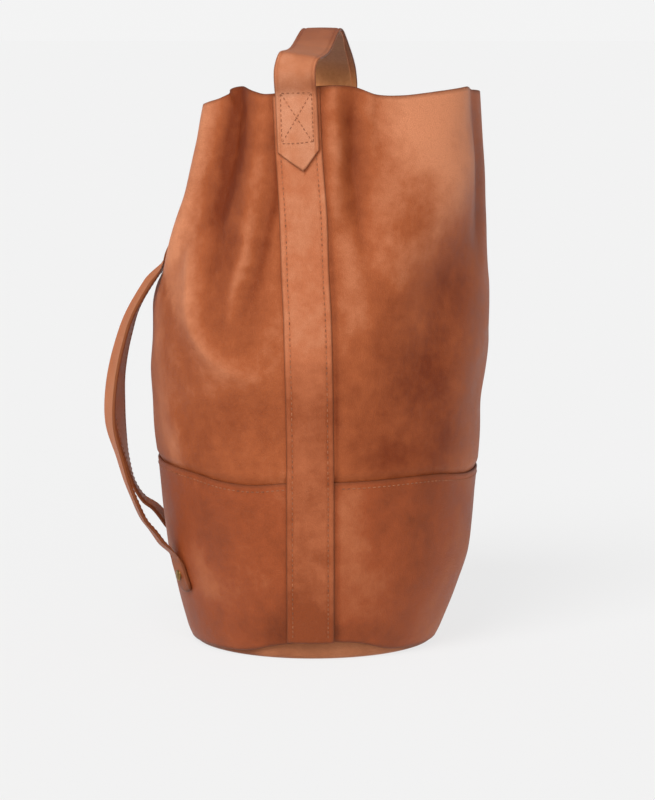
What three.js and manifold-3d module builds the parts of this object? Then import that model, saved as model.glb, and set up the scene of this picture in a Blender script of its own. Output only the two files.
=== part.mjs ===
// A leather bucket backpack: an oval, soft-sided bag with a stitched lower cuff, a strip down each side,
// a carrying handle that bridges the mouth and two shoulder straps on the back.
// Millimetres. +Z is up, +X is the bag's front, -X is its back, -Y is its left side.
// The origin is the centre of the underside of the base.

import * as THREE from 'three';
import { mergeVertices } from 'three/addons/utils/BufferGeometryUtils.js';
import Module from 'manifold-3d';

// ---------------------------------------------------------------- driving dimensions

const LEATHER = 2.0; // wall, cuff and strip thickness
const GAP = 0.35; // clearance between pieces that touch
const LAYER = LEATHER + GAP;

// Cross-sections of the outer wall: height, centre, front, back and side half-widths, and how far the
// side strips are turned apart (the near one backwards, the far one forwards).
const SECTIONS = [
  { z: 0, centre: 0, front: 96, back: 95, side: 92, twist: 0 },
  { z: 12, centre: 0, front: 102, back: 100, side: 97, twist: 0 },
  { z: 44, centre: 0, front: 114, back: 108, side: 108, twist: 0 },
  { z: 76, centre: 0, front: 123, back: 115.5, side: 115, twist: 0 },
  { z: 139, centre: 0, front: 129.5, back: 122.5, side: 122, twist: 0 },
  { z: 202, centre: 0, front: 135, back: 125.5, side: 126, twist: 0.5 },
  { z: 266, centre: 0, front: 139, back: 125.5, side: 127, twist: 2 },
  { z: 297, centre: 0.3, front: 137.5, back: 117.5, side: 125, twist: 4 },
  { z: 329, centre: 0.8, front: 135.5, back: 105, side: 121, twist: 6.5 },
  { z: 361, centre: 2, front: 133.5, back: 94.5, side: 117, twist: 10.1 },
  { z: 392, centre: 3, front: 131, back: 88.5, side: 112, twist: 13.5 },
  { z: 440, centre: 4.2, front: 125, back: 79.5, side: 103, twist: 16.8 },
];

const RIM_HEIGHT = 428.5; // mean height of the mouth's edge
const RIM_TILT_FRONT = 5; // the mouth is higher at the front than at the back
const RIM_TILT_LEFT = 5.5; // and higher on the left than on the right
const CUFF_TOP = 143;
const CUFF_HEM = 5;
const UPPER_PANEL_HEM = 119; // the upper panels end inside the cuff
const TUCK_FROM = 168; // the upper panels step inwards below this height
const TUCK_TO = 146;

const STRIP_WIDTH = 36.5;
const STRIP_ABOVE_RIM = 5;

const HANDLE_WIDTH = 31;
const HANDLE_THICKNESS = 1.8;
const LINING_THICKNESS = 1.4;
const HANDLE_LEG_CLEARANCE = 1.3; // between a leg's round end and the sewn end below it
const TAB_TIP_Z = 377; // point of the handle's sewn end
const HANDLE_ROOT_LEFT = new THREE.Vector3(-12.6, -111.5, 441);
const HANDLE_ROOT_RIGHT = new THREE.Vector3(21, 111.5, 436);

const BASE_THICKNESS = 3;
const BASE_FLANGE_HEIGHT = 14;
const BASE_CLEARANCE = 0.4; // added to the gap between the base's edge and the cuff
const BOARD_THICKNESS = 2.5;
const BASE_LINING_THICKNESS = 1.2;

const STRAP_WIDTH = 28;
const STRAP_THICKNESS = 3;
const STRAP_JOINT_GAP = 2.2; // from a sewn end to the middle of the free arch's end
const STRAP_TOP_Z = 402;
const STRAP_LIFT_TOP_Z = 289; // the strap stands clear of the back between these two heights
const STRAP_LIFT_BOTTOM_Z = 79;
const STRAP_RAMP_BOTTOM_Z = 64; // the lower end starts to leave the cuff here
const STRAP_END_Z = 42;
const STRAP_POINT = 0.6; // how steeply the strap's lower end is cut to a point
const STRAP_ARCH_LIFT = 6; // clearance under the strap where its free arch starts
const ARCH_TOP_STEP = 1.2; // how much further out than its sewn ends the free arch starts and ends
const ARCH_BOTTOM_STEP = 1.4;
const STRAP_TOP_Y = 16; // distance of a strap's centre line from the middle of the back, at its top
const STRAP_LIFT_TOP_Y = 25;
const STRAP_LIFT_BOTTOM_Y = 45;
const STRAP_END_Y = 46;

const HANGER_WIDTH = 64;
const HANGER_HEIGHT = 50;
const HANGER_TOP_Z = 405;

const RIVET_Z = 58;
const RIVET_HEAD_RADIUS = 4.5;
const RIVET_POST_RADIUS = 1.8;
const RIVET_HEAD_HEIGHT = 1.6;
const RIVET_HEAD_CLEARANCE = 1.5; // under the head, over the strap
const RIVET_CAP_CLEARANCE = 1.1; // under the cap, inside the cuff
const RIVET_HOLE_CLEARANCE = 0.4;

const SNAP_Z = 410;
const SNAP_RADIUS = 9;
const SNAP_PATCH_WIDTH = 34;
const SNAP_PATCH_HEIGHT = 30;
const SNAP_PATCH_THICKNESS = 1.5;
const SNAP_PATCH_CLEARANCE = 0.6;
const SNAP_CLEARANCE = 1; // between a patch and its half of the snap
const SNAP_THICKNESS = 3; // of the socket
const SNAP_WELL_RADIUS = 4.05;
const SNAP_WELL_FLOOR = 1;
const SNAP_EDGE = 0.8; // height of the socket's chamfered edge
const STUD_PLATE_THICKNESS = 1.2;
const STUD_RADIUS = 3.6;
const STUD_HEIGHT = 1.6;
const STUD_EDGE = 0.4;

const ROW_STEP = 24; // height between the rows of facets that every wall piece shares
const ROW_CLEARANCE = ROW_STEP / 3; // rows closer than this to a piece's end are left out
const PANEL_STEPS = 20; // facets round half the bag
const STRIP_STEPS = 4; // facets across a strip, strap or snap patch
const TAB_STEPS = 12;
const TAB_ROWS = 3;
const HANGER_STEPS = 6;
const SNAP_PATCH_ROWS = 3;
const RIVET_SEGMENTS = 16;
const SNAP_SEGMENTS = 24;
const SAME_POINT = 1e-4; // corners closer than this are one corner

const LEFT = -1;
const RIGHT = 1;

// ---------------------------------------------------------------- materials

const leather = (color) => new THREE.MeshStandardMaterial({ color, roughness: 0.55, metalness: 0 });
const PANEL_LEATHER = leather(0xb0623e);
const CUFF_LEATHER = leather(0xa65c3a);
const STRIP_LEATHER = leather(0xbd7148);
const STRAP_LEATHER = leather(0xa26245);
const LINING_LEATHER = leather(0x8a5a3a);
const BOARD = new THREE.MeshStandardMaterial({ color: 0x8c7a62, roughness: 0.9, metalness: 0 });
const BRASS = new THREE.MeshStandardMaterial({ color: 0xa88a55, roughness: 0.35, metalness: 1 });
const STEEL = new THREE.MeshStandardMaterial({ color: 0x9a9a9c, roughness: 0.35, metalness: 1 });

// ---------------------------------------------------------------- geometry helpers

// One smooth curve through the sections' values of a name, read at height z.
function sectionValue(name, z) {
  const last = SECTIONS.length - 2;
  let i = 0;
  while (i < last && z > SECTIONS[i + 1].z) {
    i += 1;
  }
  const slope = (k) => {
    const below = SECTIONS[Math.max(k - 1, 0)];
    const above = SECTIONS[Math.min(k + 1, SECTIONS.length - 1)];
    return (above[name] - below[name]) / (above.z - below.z);
  };
  const from = SECTIONS[i];
  const to = SECTIONS[i + 1];
  const span = to.z - from.z;
  const t = (z - from.z) / span;
  const t2 = t * t;
  const t3 = t2 * t;
  return (
    (2 * t3 - 3 * t2 + 1) * from[name] +
    (t3 - 2 * t2 + t) * span * slope(i) +
    (3 * t2 - 2 * t3) * to[name] +
    (t3 - t2) * span * slope(i + 1)
  );
}

// The wall's outer surface at an angle round the bag (0 at the front, -90 degrees on the left), moved out
// by offset.
function wallPoint(angle, z, offset) {
  const forward = Math.cos(angle);
  const sideways = Math.sin(angle);
  const reach = sectionValue(forward >= 0 ? 'front' : 'back', z) + offset;
  const x = sectionValue('centre', z) + sectionValue('twist', z) * sideways + reach * forward;
  const y = (sectionValue('side', z) + offset) * sideways;
  return new THREE.Vector3(x, y, z);
}

// The angle at which the wall lies at a distance x from a side strip's centre line, or y from the middle
// of the back.
function angleBesideStrip(side, x, z) {
  const reach = sectionValue(x >= 0 ? 'front' : 'back', z);
  return side * (Math.PI / 2 - Math.asin(x / reach));
}

function angleOnBack(y, z) {
  return Math.PI - Math.asin(y / sectionValue('side', z));
}

function rimHeight(angle) {
  return RIM_HEIGHT + RIM_TILT_FRONT * Math.cos(angle) - RIM_TILT_LEFT * Math.sin(angle);
}

const smoothStep = THREE.MathUtils.smoothstep;
const mix = THREE.MathUtils.lerp;

// The heights of a wall piece's rows of facets, shared by all wall pieces between the given ends.
function rowsBetween(bottom, top) {
  const rows = [bottom];
  for (let z = ROW_STEP; z < top - ROW_CLEARANCE; z += ROW_STEP) {
    if (z > bottom + ROW_CLEARANCE) {
      rows.push(z);
    }
  }
  rows.push(top);
  return rows;
}

// Indexed triangles as a closed geometry whose faces point outwards.
function solid(positions, triangles) {
  let volume = 0;
  const a = new THREE.Vector3();
  const b = new THREE.Vector3();
  const c = new THREE.Vector3();
  for (let i = 0; i < triangles.length; i += 3) {
    a.fromArray(positions, 3 * triangles[i]);
    b.fromArray(positions, 3 * triangles[i + 1]);
    c.fromArray(positions, 3 * triangles[i + 2]);
    volume += a.dot(b.cross(c));
  }
  const index = volume > 0 ? triangles : triangles.slice().reverse();
  const geometry = new THREE.BufferGeometry();
  geometry.setAttribute('position', new THREE.Float32BufferAttribute(positions, 3));
  geometry.setIndex(index);
  geometry.computeVertexNormals();
  return geometry;
}

// A sheet of leather as a closed slab. pointAt(u, v, offset) is a point of the sheet, with u and v from 0
// to 1, and the slab lies between two offsets.
function slab(pointAt, uSteps, vSteps, inner, outer) {
  const positions = [];
  const triangles = [];
  const columns = uSteps + 1;
  const layerSize = columns * (vSteps + 1);
  for (const offset of [inner, outer]) {
    for (let j = 0; j <= vSteps; j += 1) {
      for (let i = 0; i <= uSteps; i += 1) {
        positions.push(...pointAt(i / uSteps, j / vSteps, offset).toArray());
      }
    }
  }
  const quad = (p, q, r, s) => triangles.push(p, q, r, p, r, s);
  const at = (layer, i, j) => layer * layerSize + j * columns + i;
  for (let j = 0; j < vSteps; j += 1) {
    for (let i = 0; i < uSteps; i += 1) {
      quad(at(1, i, j), at(1, i + 1, j), at(1, i + 1, j + 1), at(1, i, j + 1));
      quad(at(0, i, j), at(0, i, j + 1), at(0, i + 1, j + 1), at(0, i + 1, j));
    }
  }
  for (let i = 0; i < uSteps; i += 1) {
    quad(at(0, i, 0), at(0, i + 1, 0), at(1, i + 1, 0), at(1, i, 0));
    quad(at(0, i, vSteps), at(1, i, vSteps), at(1, i + 1, vSteps), at(0, i + 1, vSteps));
  }
  for (let j = 0; j < vSteps; j += 1) {
    quad(at(0, 0, j), at(1, 0, j), at(1, 0, j + 1), at(0, 0, j + 1));
    quad(at(0, uSteps, j), at(0, uSteps, j + 1), at(1, uSteps, j + 1), at(1, uSteps, j));
  }
  return solid(positions, triangles);
}

// A flat strap swept along frames { centre, across, out }, each with its own half-width. The strap lies
// between two distances along out.
function sweptStrap(frames, inner, outer) {
  const positions = [];
  const triangles = [];
  for (const { centre, across, out, halfWidth } of frames) {
    for (const [sideways, depth] of [[-1, inner], [1, inner], [1, outer], [-1, outer]]) {
      const corner = centre.clone();
      corner.addScaledVector(across, sideways * halfWidth);
      corner.addScaledVector(out, depth);
      positions.push(...corner.toArray());
    }
  }
  for (let k = 0; k < frames.length - 1; k += 1) {
    for (let i = 0; i < 4; i += 1) {
      const p = 4 * k + i;
      const q = 4 * k + ((i + 1) % 4);
      triangles.push(p, q, q + 4, p, q + 4, p + 4);
    }
  }
  const end = 4 * (frames.length - 1);
  triangles.push(0, 2, 1, 0, 3, 2);
  triangles.push(end, end + 1, end + 2, end, end + 2, end + 3);
  return solid(positions, triangles);
}

const wasm = await Module();
wasm.setup();

function toManifold(geometry) {
  const bare = geometry.clone();
  bare.deleteAttribute('normal');
  bare.deleteAttribute('uv');
  const merged = mergeVertices(bare, SAME_POINT);
  const vertProperties = new Float32Array(merged.attributes.position.array);
  const triVerts = new Uint32Array(merged.index.array);
  return new wasm.Manifold(new wasm.Mesh({ numProp: 3, vertProperties, triVerts }));
}

function fromManifold(manifold) {
  const { vertProperties, triVerts } = manifold.getMesh();
  const geometry = new THREE.BufferGeometry();
  geometry.setAttribute('position', new THREE.Float32BufferAttribute(vertProperties, 3));
  geometry.setIndex(Array.from(triVerts));
  geometry.computeVertexNormals();
  return geometry;
}

function drilled(geometry, holes) {
  const cut = holes.reduce((rest, hole) => rest.subtract(toManifold(hole)), toManifold(geometry));
  return fromManifold(cut);
}

const bag = new THREE.Group();

function add(name, geometry, material) {
  const mesh = new THREE.Mesh(geometry, material);
  mesh.name = name;
  bag.add(mesh);
  return mesh;
}

// ---------------------------------------------------------------- walls

// Half of the wall, front or back, between two heights. The front half runs from the left strip to the
// right one through the front.
const PANEL_END_GAP = THREE.MathUtils.degToRad(0.15);

function halfAngle(half, u) {
  const start = half === 'front' ? -Math.PI / 2 : Math.PI / 2;
  return start + PANEL_END_GAP + u * (Math.PI - 2 * PANEL_END_GAP);
}

// The upper panels tuck in below the cuff's top edge.
function tuck(z) {
  return -LAYER * (1 - smoothStep(z, TUCK_TO, TUCK_FROM));
}

function upperPanel(half) {
  const rows = rowsBetween(UPPER_PANEL_HEM, RIM_HEIGHT);
  const pointAt = (u, v, offset) => {
    const angle = halfAngle(half, u);
    const z = v === 1 ? rimHeight(angle) : rows[Math.round(v * (rows.length - 1))];
    return wallPoint(angle, z, offset + tuck(z));
  };
  return slab(pointAt, PANEL_STEPS, rows.length - 1, -LEATHER, 0);
}

function cuff(half) {
  const rows = rowsBetween(CUFF_HEM, CUFF_TOP);
  const pointAt = (u, v, offset) => {
    const z = rows[Math.round(v * (rows.length - 1))];
    return wallPoint(halfAngle(half, u), z, offset);
  };
  return slab(pointAt, PANEL_STEPS, rows.length - 1, -LEATHER, 0);
}

// A strip down one side, from the hem to just above the rim.
function sideStrip(side) {
  const top = rimHeight((side * Math.PI) / 2) + STRIP_ABOVE_RIM;
  const rows = rowsBetween(CUFF_HEM, top);
  const pointAt = (u, v, offset) => {
    const z = rows[Math.round(v * (rows.length - 1))];
    return wallPoint(angleBesideStrip(side, (u - 0.5) * STRIP_WIDTH, z), z, offset);
  };
  return slab(pointAt, STRIP_STEPS, rows.length - 1, GAP, GAP + LEATHER);
}

// ---------------------------------------------------------------- base

// An oval disc standing inside the wall, between two heights, with its edge inset from the wall.
function baseDisc(bottom, top, inset) {
  const outline = new THREE.Shape();
  const steps = 2 * PANEL_STEPS;
  for (let i = 0; i < steps; i += 1) {
    const point = wallPoint((i / steps) * 2 * Math.PI, CUFF_HEM, -inset);
    if (i === 0) {
      outline.moveTo(point.x, point.y);
    } else {
      outline.lineTo(point.x, point.y);
    }
  }
  const geometry = new THREE.ExtrudeGeometry(outline, { depth: top - bottom, bevelEnabled: false });
  return geometry.translate(0, 0, bottom);
}

// The leather base: a disc whose edge turns up inside the cuff.
function basePan() {
  const inset = LAYER + BASE_CLEARANCE;
  const whole = baseDisc(0, BASE_FLANGE_HEIGHT, inset);
  const hollow = baseDisc(BASE_THICKNESS, BASE_FLANGE_HEIGHT + 1, inset + LEATHER);
  return drilled(whole, [hollow]);
}

const BOARD_INSET = 2 * (LAYER + BASE_CLEARANCE);

// ---------------------------------------------------------------- handle

const handleAxis = HANDLE_ROOT_RIGHT.clone().sub(HANDLE_ROOT_LEFT);
const handleSpan = handleAxis.length();
handleAxis.normalize();
const handleAcross = new THREE.Vector3(handleAxis.y, -handleAxis.x, 0).normalize();
const handleUp = handleAcross.clone().cross(handleAxis).normalize();

// The handle's inner face, as distances along the line between its roots and above it.
const HANDLE_PATH = [
  [0, 12], [1.5, 16.5], [8, 19.3], [34, 20.8], [60, 23.8], [84, 28.5], [104, 34], [120, 38.6],
  [132, 40.5], [145, 39], [160, 34], [176, 27.8], [192, 21.8], [209, 15.8],
  [handleSpan - 2, 12.5], [handleSpan, 8],
];
const HANDLE_STEPS = 30;
const LEG_END_ROWS = [0.04, 0.14, 0.3, 0.55, 0.8]; // rows of facets in a leg's half-round end, by its depth

// Frames along the handle. Each leg ends in a half circle round its root, so that the handle can swing.
function handleFrames() {
  const halfWidth = HANDLE_WIDTH / 2;
  const frame = (along, up, tangent, width) => {
    const centre = HANDLE_ROOT_LEFT.clone();
    centre.addScaledVector(handleAxis, along);
    centre.addScaledVector(handleUp, up);
    const out = tangent.clone().cross(handleAcross).normalize().negate();
    return { centre, across: handleAcross, out, halfWidth: width };
  };
  const legFrames = (along, direction) => {
    const frames = [];
    for (const row of LEG_END_ROWS) {
      const below = halfWidth * (1 - row);
      const width = Math.sqrt(halfWidth * halfWidth - below * below);
      frames.push(frame(along, -below, handleUp.clone().multiplyScalar(direction), width));
    }
    frames.push(frame(along, 0, handleUp.clone().multiplyScalar(direction), halfWidth));
    return frames;
  };
  const points = HANDLE_PATH.map(([along, up]) => new THREE.Vector3(along, up, 0));
  const curve = new THREE.CatmullRomCurve3(points, false, 'centripetal');
  const frames = legFrames(0, 1);
  for (let i = 0; i <= HANDLE_STEPS; i += 1) {
    const point = curve.getPointAt(i / HANDLE_STEPS);
    const slope = curve.getTangentAt(i / HANDLE_STEPS);
    if (i === 0) {
      slope.set(0, 1, 0);
    }
    if (i === HANDLE_STEPS) {
      slope.set(0, -1, 0);
    }
    const tangent = new THREE.Vector3();
    tangent.addScaledVector(handleAxis, slope.x);
    tangent.addScaledVector(handleUp, slope.y);
    frames.push(frame(point.x, point.y, tangent, halfWidth));
  }
  return frames.concat(legFrames(handleSpan, -1).reverse());
}

// The handle's sewn end on a side strip: pointed below, hollowed above to clear the swinging leg.
function handleTab(side) {
  const root = side === LEFT ? HANDLE_ROOT_LEFT : HANDLE_ROOT_RIGHT;
  const clearRadius = HANDLE_WIDTH / 2 + HANDLE_LEG_CLEARANCE;
  const pointAt = (u, v, offset) => {
    const x = (u - 0.5) * HANDLE_WIDTH;
    const top = root.z - Math.sqrt(clearRadius * clearRadius - x * x);
    const z = mix(TAB_TIP_Z + Math.abs(x), top, v);
    return wallPoint(angleBesideStrip(side, x, z), z, offset);
  };
  const inner = GAP + LAYER + GAP;
  return slab(pointAt, TAB_STEPS, TAB_ROWS, inner, inner + HANDLE_THICKNESS);
}

// ---------------------------------------------------------------- shoulder straps

// A strap's sewn length on the wall, with the heights of its rows of facets, its centre line's distance
// from the middle of the back at each end, and the height it stands off the wall.
function sewnStrap(side, rows, ends, liftAt, tip) {
  const pointAt = (u, v, offset) => {
    const level = rows[Math.round(v * (rows.length - 1))];
    const along = (level - rows[0]) / (rows[rows.length - 1] - rows[0]);
    const sideways = (u - 0.5) * STRAP_WIDTH;
    const z = v === 0 ? level + tip * Math.abs(u - 0.5) * STRAP_WIDTH : level;
    const y = side * mix(ends.bottomY, ends.topY, along) + sideways;
    return wallPoint(angleOnBack(y, z), z, offset + liftAt(z));
  };
  return slab(pointAt, STRIP_STEPS, rows.length - 1, GAP, GAP + STRAP_THICKNESS);
}

function upperStrapEnd(side) {
  const rows = rowsBetween(STRAP_LIFT_TOP_Z, STRAP_TOP_Z);
  const rampTop = STRAP_LIFT_TOP_Z + ROW_STEP;
  const lift = (z) => STRAP_ARCH_LIFT * (1 - smoothStep(z, STRAP_LIFT_TOP_Z, rampTop));
  return sewnStrap(side, rows, { bottomY: STRAP_LIFT_TOP_Y, topY: STRAP_TOP_Y }, lift, 0);
}

function lowerStrapEnd(side) {
  const rows = [STRAP_END_Z, 2 * ROW_STEP, STRAP_RAMP_BOTTOM_Z, 3 * ROW_STEP, STRAP_LIFT_BOTTOM_Z];
  const lift = (z) => STRAP_ARCH_LIFT * smoothStep(z, STRAP_RAMP_BOTTOM_Z, STRAP_LIFT_BOTTOM_Z);
  return sewnStrap(side, rows, { bottomY: STRAP_END_Y, topY: STRAP_LIFT_BOTTOM_Y }, lift, STRAP_POINT);
}

// Each free arch's centre line between its sewn ends, with how far its outer face is turned outwards from
// straight back, in degrees. Points are written as on the right-hand side. The upper halves are alike, and
// the right strap hangs a little fuller and flatter below.
const ARCH_UPPER_HALF = [
  { point: [-138.5, 28, 268], yaw: 13 },
  { point: [-150, 31, 238], yaw: 16 },
  { point: [-156.5, 36, 206], yaw: 18 },
  { point: [-157, 41.5, 176], yaw: 17 },
];
const ARCH_LOWER_HALF_LEFT = [
  { point: [-149.8, 43, 150], yaw: 13 },
  { point: [-144.8, 44, 133], yaw: 12 },
  { point: [-138.8, 44.8, 117.5], yaw: 12 },
  { point: [-131.8, 45, 102], yaw: 14 },
  { point: [-123, 45, 90.5], yaw: 18 },
];
const ARCH_LOWER_HALF_RIGHT = [
  { point: [-154, 43, 151], yaw: 8 },
  { point: [-150.5, 44, 134], yaw: 0 },
  { point: [-145.5, 44.8, 116], yaw: -4 },
  { point: [-137.5, 45, 102.5], yaw: -2 },
  { point: [-125, 45, 92.5], yaw: 8 },
];
const ARCH_TOP_YAW = 12;
const ARCH_BOTTOM_YAW = 23;
const ARCH_STEPS = 34;

// Where the free arch meets a sewn end that stands off the wall at a height: a little further out than
// the sewn end, and clear of it by the joint's gap.
function archEnd(side, y, z, further, clear) {
  const end = wallPoint(angleOnBack(side * y, z), z, GAP + STRAP_ARCH_LIFT + STRAP_THICKNESS / 2);
  return end.add(new THREE.Vector3(-further, 0, clear));
}

function archTop(side) {
  return archEnd(side, STRAP_LIFT_TOP_Y, STRAP_LIFT_TOP_Z, ARCH_TOP_STEP, -STRAP_JOINT_GAP);
}

function archBottom(side) {
  return archEnd(side, STRAP_LIFT_BOTTOM_Y, STRAP_LIFT_BOTTOM_Z, ARCH_BOTTOM_STEP, STRAP_JOINT_GAP);
}

function strapArch(side) {
  const lowerHalf = side === LEFT ? ARCH_LOWER_HALF_LEFT : ARCH_LOWER_HALF_RIGHT;
  const path = ARCH_UPPER_HALF.concat(lowerHalf);
  const between = path.map(({ point: [x, y, z] }) => new THREE.Vector3(x, side * y, z));
  const points = [archTop(side), ...between, archBottom(side)];
  const yaws = [ARCH_TOP_YAW, ...path.map(({ yaw }) => yaw), ARCH_BOTTOM_YAW];
  const curve = new THREE.CatmullRomCurve3(points, false, 'centripetal');
  const frames = [];
  for (let i = 0; i <= ARCH_STEPS; i += 1) {
    const t = i / ARCH_STEPS;
    const place = t * (yaws.length - 1);
    const k = Math.min(Math.floor(place), yaws.length - 2);
    const yaw = THREE.MathUtils.degToRad(mix(yaws[k], yaws[k + 1], place - k));
    const across = new THREE.Vector3(Math.sin(yaw), side * Math.cos(yaw), 0);
    const out = curve.getTangent(t).cross(across).normalize().multiplyScalar(side);
    frames.push({ centre: curve.getPoint(t), across, out, halfWidth: STRAP_WIDTH / 2 });
  }
  return sweptStrap(frames, -STRAP_THICKNESS / 2, STRAP_THICKNESS / 2);
}

// A patch over both straps' upper ends, on the middle of the back.
function hangerPatch() {
  const inner = GAP + STRAP_THICKNESS + GAP;
  const rows = rowsBetween(HANGER_TOP_Z - HANGER_HEIGHT, HANGER_TOP_Z);
  const pointAt = (u, v, offset) => {
    const z = rows[Math.round(v * (rows.length - 1))];
    return wallPoint(angleOnBack((u - 0.5) * HANGER_WIDTH, z), z, offset);
  };
  return slab(pointAt, HANGER_STEPS, rows.length - 1, inner, inner + LEATHER);
}

// ---------------------------------------------------------------- rivets and snap

// A frame at a point of the wall, with its axis pointing straight out of it, found from points a small
// step to each side, above and below.
function wallFrame(angle, z) {
  const turnStep = 0.01;
  const heightStep = 1;
  const here = wallPoint(angle, z, 0);
  const along = wallPoint(angle + turnStep, z, 0).sub(wallPoint(angle - turnStep, z, 0));
  const up = wallPoint(angle, z + heightStep, 0).sub(wallPoint(angle, z - heightStep, 0));
  const out = along.cross(up).normalize();
  const turn = new THREE.Quaternion().setFromUnitVectors(new THREE.Vector3(0, 1, 0), out);
  return new THREE.Matrix4().compose(here, turn, new THREE.Vector3(1, 1, 1));
}

function turned(profile, frame, segments) {
  const points = profile.map(([radius, height]) => new THREE.Vector2(radius, height));
  return new THREE.LatheGeometry(points, segments).applyMatrix4(frame);
}

// A rivet through the lower strap end and the cuff: a domed head outside, a cap inside.
function rivetFrame(side) {
  return wallFrame(angleOnBack(side * STRAP_END_Y, RIVET_Z), RIVET_Z);
}

const RIVET_OUTSIDE = GAP + STRAP_THICKNESS + RIVET_HEAD_CLEARANCE;
const RIVET_INSIDE = -LEATHER - RIVET_CAP_CLEARANCE;

function rivet(side) {
  const profile = [
    [0, RIVET_INSIDE - RIVET_HEAD_HEIGHT],
    [RIVET_HEAD_RADIUS, RIVET_INSIDE - RIVET_HEAD_HEIGHT],
    [RIVET_HEAD_RADIUS, RIVET_INSIDE],
    [RIVET_POST_RADIUS, RIVET_INSIDE],
    [RIVET_POST_RADIUS, RIVET_OUTSIDE],
    [RIVET_HEAD_RADIUS, RIVET_OUTSIDE],
    [RIVET_HEAD_RADIUS * 0.8, RIVET_OUTSIDE + RIVET_HEAD_HEIGHT * 0.7],
    [0, RIVET_OUTSIDE + RIVET_HEAD_HEIGHT],
  ];
  return turned(profile, rivetFrame(side), RIVET_SEGMENTS);
}

function rivetHole(side) {
  const radius = RIVET_POST_RADIUS + RIVET_HOLE_CLEARANCE;
  const profile = [[0, -3 * LEATHER], [radius, -3 * LEATHER], [radius, 3 * LAYER], [0, 3 * LAYER]];
  return turned(profile, rivetFrame(side), RIVET_SEGMENTS);
}

// The snap's patches and halves lie on the inside of the wall, at the front and at the back.
function snapPatch(half) {
  const middle = half === 'front' ? 0 : Math.PI;
  const bottom = SNAP_Z - SNAP_PATCH_HEIGHT / 2;
  const pointAt = (u, v, offset) => {
    const z = mix(bottom, bottom + SNAP_PATCH_HEIGHT, v);
    const angle = middle + (u - 0.5) * (SNAP_PATCH_WIDTH / sectionValue('side', z));
    return wallPoint(angle, z, offset);
  };
  const outer = -LEATHER - SNAP_PATCH_CLEARANCE;
  return slab(pointAt, STRIP_STEPS, SNAP_PATCH_ROWS, outer - SNAP_PATCH_THICKNESS, outer);
}

function snapFrame(half) {
  return wallFrame(half === 'front' ? 0 : Math.PI, SNAP_Z);
}

const SNAP_FACE = -LEATHER - SNAP_PATCH_CLEARANCE - SNAP_PATCH_THICKNESS - SNAP_CLEARANCE;

function snapSocket() {
  const back = SNAP_FACE - SNAP_THICKNESS;
  const wellFloor = back + SNAP_WELL_FLOOR;
  const profile = [
    [0, SNAP_FACE],
    [0, wellFloor],
    [SNAP_WELL_RADIUS, wellFloor],
    [SNAP_WELL_RADIUS, back],
    [SNAP_RADIUS * 0.9, back],
    [SNAP_RADIUS, back + SNAP_EDGE],
    [SNAP_RADIUS, SNAP_FACE],
    [0, SNAP_FACE],
  ];
  return turned(profile, snapFrame('front'), SNAP_SEGMENTS);
}

function snapStud() {
  const back = SNAP_FACE - STUD_PLATE_THICKNESS;
  const tip = back - STUD_HEIGHT;
  const profile = [
    [0, SNAP_FACE],
    [0, tip],
    [STUD_RADIUS, tip],
    [STUD_RADIUS, back],
    [SNAP_RADIUS * 0.95, back],
    [SNAP_RADIUS, back + STUD_EDGE],
    [SNAP_RADIUS, SNAP_FACE],
    [0, SNAP_FACE],
  ];
  return turned(profile, snapFrame('back'), SNAP_SEGMENTS);
}

// ---------------------------------------------------------------- assembly

const rivetHoles = [rivetHole(LEFT), rivetHole(RIGHT)];

add('upper_panel_front', upperPanel('front'), PANEL_LEATHER);
add('upper_panel_back', upperPanel('back'), PANEL_LEATHER);
add('lower_cuff_front', cuff('front'), CUFF_LEATHER);
add('lower_cuff_back', drilled(cuff('back'), rivetHoles), CUFF_LEATHER);
add('side_strip_left', sideStrip(LEFT), STRIP_LEATHER);
add('side_strip_right', sideStrip(RIGHT), STRIP_LEATHER);

add('base_pan', basePan(), CUFF_LEATHER);
const boardBottom = BASE_THICKNESS + GAP;
const boardTop = boardBottom + BOARD_THICKNESS;
add('base_board', baseDisc(boardBottom, boardTop, BOARD_INSET), BOARD);
const liningBottom = boardTop + GAP;
const liningTop = liningBottom + BASE_LINING_THICKNESS;
add('base_lining', baseDisc(liningBottom, liningTop, BOARD_INSET), LINING_LEATHER);

const handleInside = handleFrames();
add('handle_lining', sweptStrap(handleInside, 0, LINING_THICKNESS), LINING_LEATHER);
const strapInside = LINING_THICKNESS + GAP;
add('handle_strap', sweptStrap(handleInside, strapInside, strapInside + HANDLE_THICKNESS), STRIP_LEATHER);
add('handle_end_left', handleTab(LEFT), STRIP_LEATHER);
add('handle_end_right', handleTab(RIGHT), STRIP_LEATHER);

for (const [name, side] of [['left', LEFT], ['right', RIGHT]]) {
  add(`shoulder_strap_${name}`, strapArch(side), STRAP_LEATHER);
  add(`strap_upper_end_${name}`, upperStrapEnd(side), STRAP_LEATHER);
  add(`strap_lower_end_${name}`, drilled(lowerStrapEnd(side), [rivetHole(side)]), STRAP_LEATHER);
  add(`strap_rivet_${name}`, rivet(side), BRASS);
}
add('strap_hanger_patch', hangerPatch(), STRIP_LEATHER);

add('snap_patch_front', snapPatch('front'), LINING_LEATHER);
add('snap_patch_back', snapPatch('back'), LINING_LEATHER);
add('snap_socket', snapSocket(), STEEL);
add('snap_stud', snapStud(), STEEL);

export default bag;
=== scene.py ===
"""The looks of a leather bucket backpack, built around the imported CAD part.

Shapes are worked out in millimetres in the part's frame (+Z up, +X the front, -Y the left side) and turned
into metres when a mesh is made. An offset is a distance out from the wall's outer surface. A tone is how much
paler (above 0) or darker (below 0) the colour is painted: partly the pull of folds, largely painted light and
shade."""

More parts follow.
